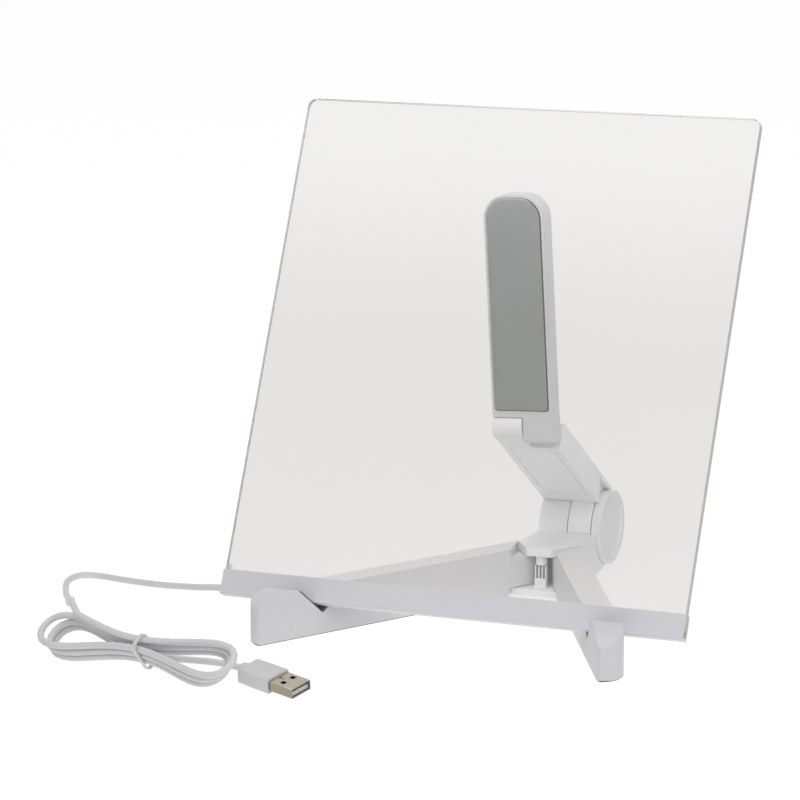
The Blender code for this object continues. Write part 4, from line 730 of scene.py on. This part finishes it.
pad = begin("foam_pad", "plane", size=1)
shift(0, (PAD_LOW + PAD_HIGH) / 2, PAD_BACK, (0, 0, 0),
      (2 * PAD_HALF_WIDTH, PAD_LOW - PAD_HIGH, 1))
for level, radius, steps in ((PAD_HIGH, PAD_TOP_ROUND, 10), (PAD_LOW, PAD_LOW_ROUND, 5)):
    pick(pad, "VERT", lambda point: abs(point.co.y - level) < MM)
    bpy.ops.mesh.bevel(offset=radius, segments=steps, affect="VERTICES")
bpy.ops.mesh.select_all(action="SELECT")
extrude(0, 0, -PAD_SIDE_WALL)
bpy.ops.mesh.select_all(action="SELECT")
bpy.ops.mesh.normals_make_consistent(inside=False)
pick(pad, "FACE", lambda face: face.calc_center_median().z < PAD_BACK - PAD_SIDE_WALL * 0.9)
for width, lift in PAD_RINGS:
    bpy.ops.mesh.inset(thickness=width, depth=lift)
for place_x in PAD_COLUMNS:
    bpy.ops.mesh.select_all(action="SELECT")
    bpy.ops.mesh.bisect(plane_co=(place_x, 0, 0), plane_no=(1, 0, 0))
for place_y in PAD_ROWS:
    bpy.ops.mesh.select_all(action="SELECT")
    bpy.ops.mesh.bisect(plane_co=(0, place_y, 0), plane_no=(0, 1, 0))
front = PAD_BACK - PAD_SIDE_WALL - sum(lift for width, lift in PAD_RINGS)
for half, far, near, lift in PAD_CROWN:
    pick(pad, "VERT", lambda point: abs(point.co.x) < half and far < point.co.y < near
         and point.co.z < front + 0.02 * MM)
    shift(0, 0, -lift)
settle(pad, Matrix.Translation(ELBOW_PLACE) @ Matrix.Rotation(ARM_ROLL, 4, "Y")
       @ Matrix.Rotation(ARM_TURN, 4, "X"), 40)

pad_look, shade = finish("grey_foam_rubber")
place = shade.node("TexCoord", output=3)
cloud = shade.noise(place, 120.0, 3.0)
cells = shade.noise(place, 1500.0, 3.0, 0.6)
arm_turn = Matrix.Rotation(ARM_ROLL, 3, "Y") @ Matrix.Rotation(ARM_TURN, 3, "X")
pad_out = arm_turn @ Vector((0, 0, 1))
level = along_axis(shade, place, tuple(pad_out), ELBOW_PLACE.dot(pad_out))
# Painted highlight and shadow: the raised border is painted a lighter grey than the foam, and
# its outer edge near black where it faces right or down, as a shadow line.
border = shade.sum("GREATER_THAN", level, PAD_BORDER_LEVEL)
outward = shade.node("TexCoord", output=1)
turned = shade.sum("MAXIMUM", along_axis(shade, outward, tuple(arm_turn @ Vector((1, 0, 0)))),
                   along_axis(shade, outward, tuple(arm_turn @ Vector((0, 1, 0)))))
painted_shadow_line = (shade.sum("GREATER_THAN", level, PAD_PAINTED_SHADOW_LEVEL)
          * shade.sum("GREATER_THAN", turned, PAD_PAINTED_SHADOW_TURN))
foam = (0.6 * cloud + 0.4 * cells).tint((0.279, 0.300, 0.296), (0.338, 0.360, 0.356))
painted_rim_light_and_shadow = painted_shadow_line.tint((0.47, 0.49, 0.44), (0.10, 0.105, 0.10))
surface(shade, {"Base Color": border.tint(foam, painted_rim_light_and_shadow),
                "Roughness": 0.7, "Normal": shade.bump(cells, 0.05 * MM, 0.6)})
dress(pad, pad_look)
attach(pad, "upper_arm")
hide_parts("arm_pad")


# ---- Steel pins -------------------------------------------------------------------------
# Plain turned steel pins, the axle and the friction rings, inside the joints.

steel_look = speckled("turned_steel", (0.48, 0.48, 0.48), (0.62, 0.62, 0.61), (900.0, 2.0),
                      (0.3, 0.15), metallic=1.0)
for name in ("left_leg_pin", "right_leg_pin", "knuckle_axle", "elbow_pin",
             "knuckle_friction_ring", "elbow_friction_ring"):
    dress(nodes[name], steel_look)


# ---- Floor and light --------------------------------------------------------------------
# A plain white floor and a white surround, both a little darker through the clear sheet,
# with a broad lamp above, one in front and a weak one at the side.

FLOOR_SIZE = 24
FLOOR_TONE = (0.93, 0.93, 0.93, 1.0)
FLOOR_THROUGH = (0.865, 0.865, 0.865)
FLOOR_STRENGTH = 1.1
FLOOR_SEEN_SHARE = 0.85
FLOOR_BOUNCE_SHARE = 0.5
SURROUND_THROUGH = (0.935, 0.935, 0.935)
SURROUND_SOFT = 0.3
RAYS = {"camera": 0, "diffuse": 2, "glossy": 3, "transmitted": 6}
AIM = Vector((0, 0, 0.1))
LAMPS = (("lamp_above", (-0.2, -0.5, 2.1), 2.0, 16.0),
         ("lamp_front", (0.9, -2.3, 1.8), 1.3, 14.0),
         ("lamp_side", (1.6, -0.3, 0.8), 1.2, 4.0))


def ray(shade, kind):
    return shade.node("LightPath", output=RAYS[kind])


def seen_rays(shade):
    """One for the rays that show a thing itself: straight, mirrored or through the sheet."""
    return shade.sum("MAXIMUM", ray(shade, "camera"),
                     shade.sum("MAXIMUM", ray(shade, "glossy"), ray(shade, "transmitted")))


bpy.ops.mesh.primitive_plane_add(size=FLOOR_SIZE, location=(0, 0, 0))
floor = bpy.context.object
floor.name = "floor"
floor_look, shade = finish("white_floor")
lit = shade.node("BsdfDiffuse", None, {"Color": FLOOR_TONE})
plain = shade.node("Emission", None, {
    "Color": ray(shade, "transmitted").tint((1.0, 1.0, 1.0), FLOOR_THROUGH),
    "Strength": FLOOR_STRENGTH})
share = FLOOR_SEEN_SHARE * seen_rays(shade) + FLOOR_BOUNCE_SHARE * ray(shade, "diffuse")
both = shade.node("MixShader", None, {0: share, 1: lit, 2: plain})
end = shade.tree.nodes.new("ShaderNodeOutputMaterial")
shade.tree.links.new(both.socket, end.inputs["Surface"])
dress(floor, floor_look)

world = bpy.data.worlds.new("white_surround")
world.use_nodes = True
bpy.context.scene.world = world
tree = world.node_tree
tree.nodes.clear()
shade = Shade(tree)
soft = shade.node("Background", None, {"Color": (1, 1, 1, 1), "Strength": SURROUND_SOFT})
white = shade.node("Background", None, {
    "Color": ray(shade, "transmitted").tint((1.0, 1.0, 1.0), SURROUND_THROUGH),
    "Strength": 1.0})
both = shade.node("MixShader", None, {0: seen_rays(shade), 1: soft, 2: white})
end = tree.nodes.new("ShaderNodeOutputWorld")
tree.links.new(both.socket, end.inputs["Surface"])

for name, place, size, power in LAMPS:
    bpy.ops.object.light_add(type="AREA", location=place)
    lamp = bpy.context.object
    lamp.name = name
    lamp.data.size = size
    lamp.data.energy = power
    lamp.rotation_euler = (AIM - Vector(place)).to_track_quat("-Z", "Y").to_euler()

bpy.context.scene.view_settings.view_transform = "Standard"
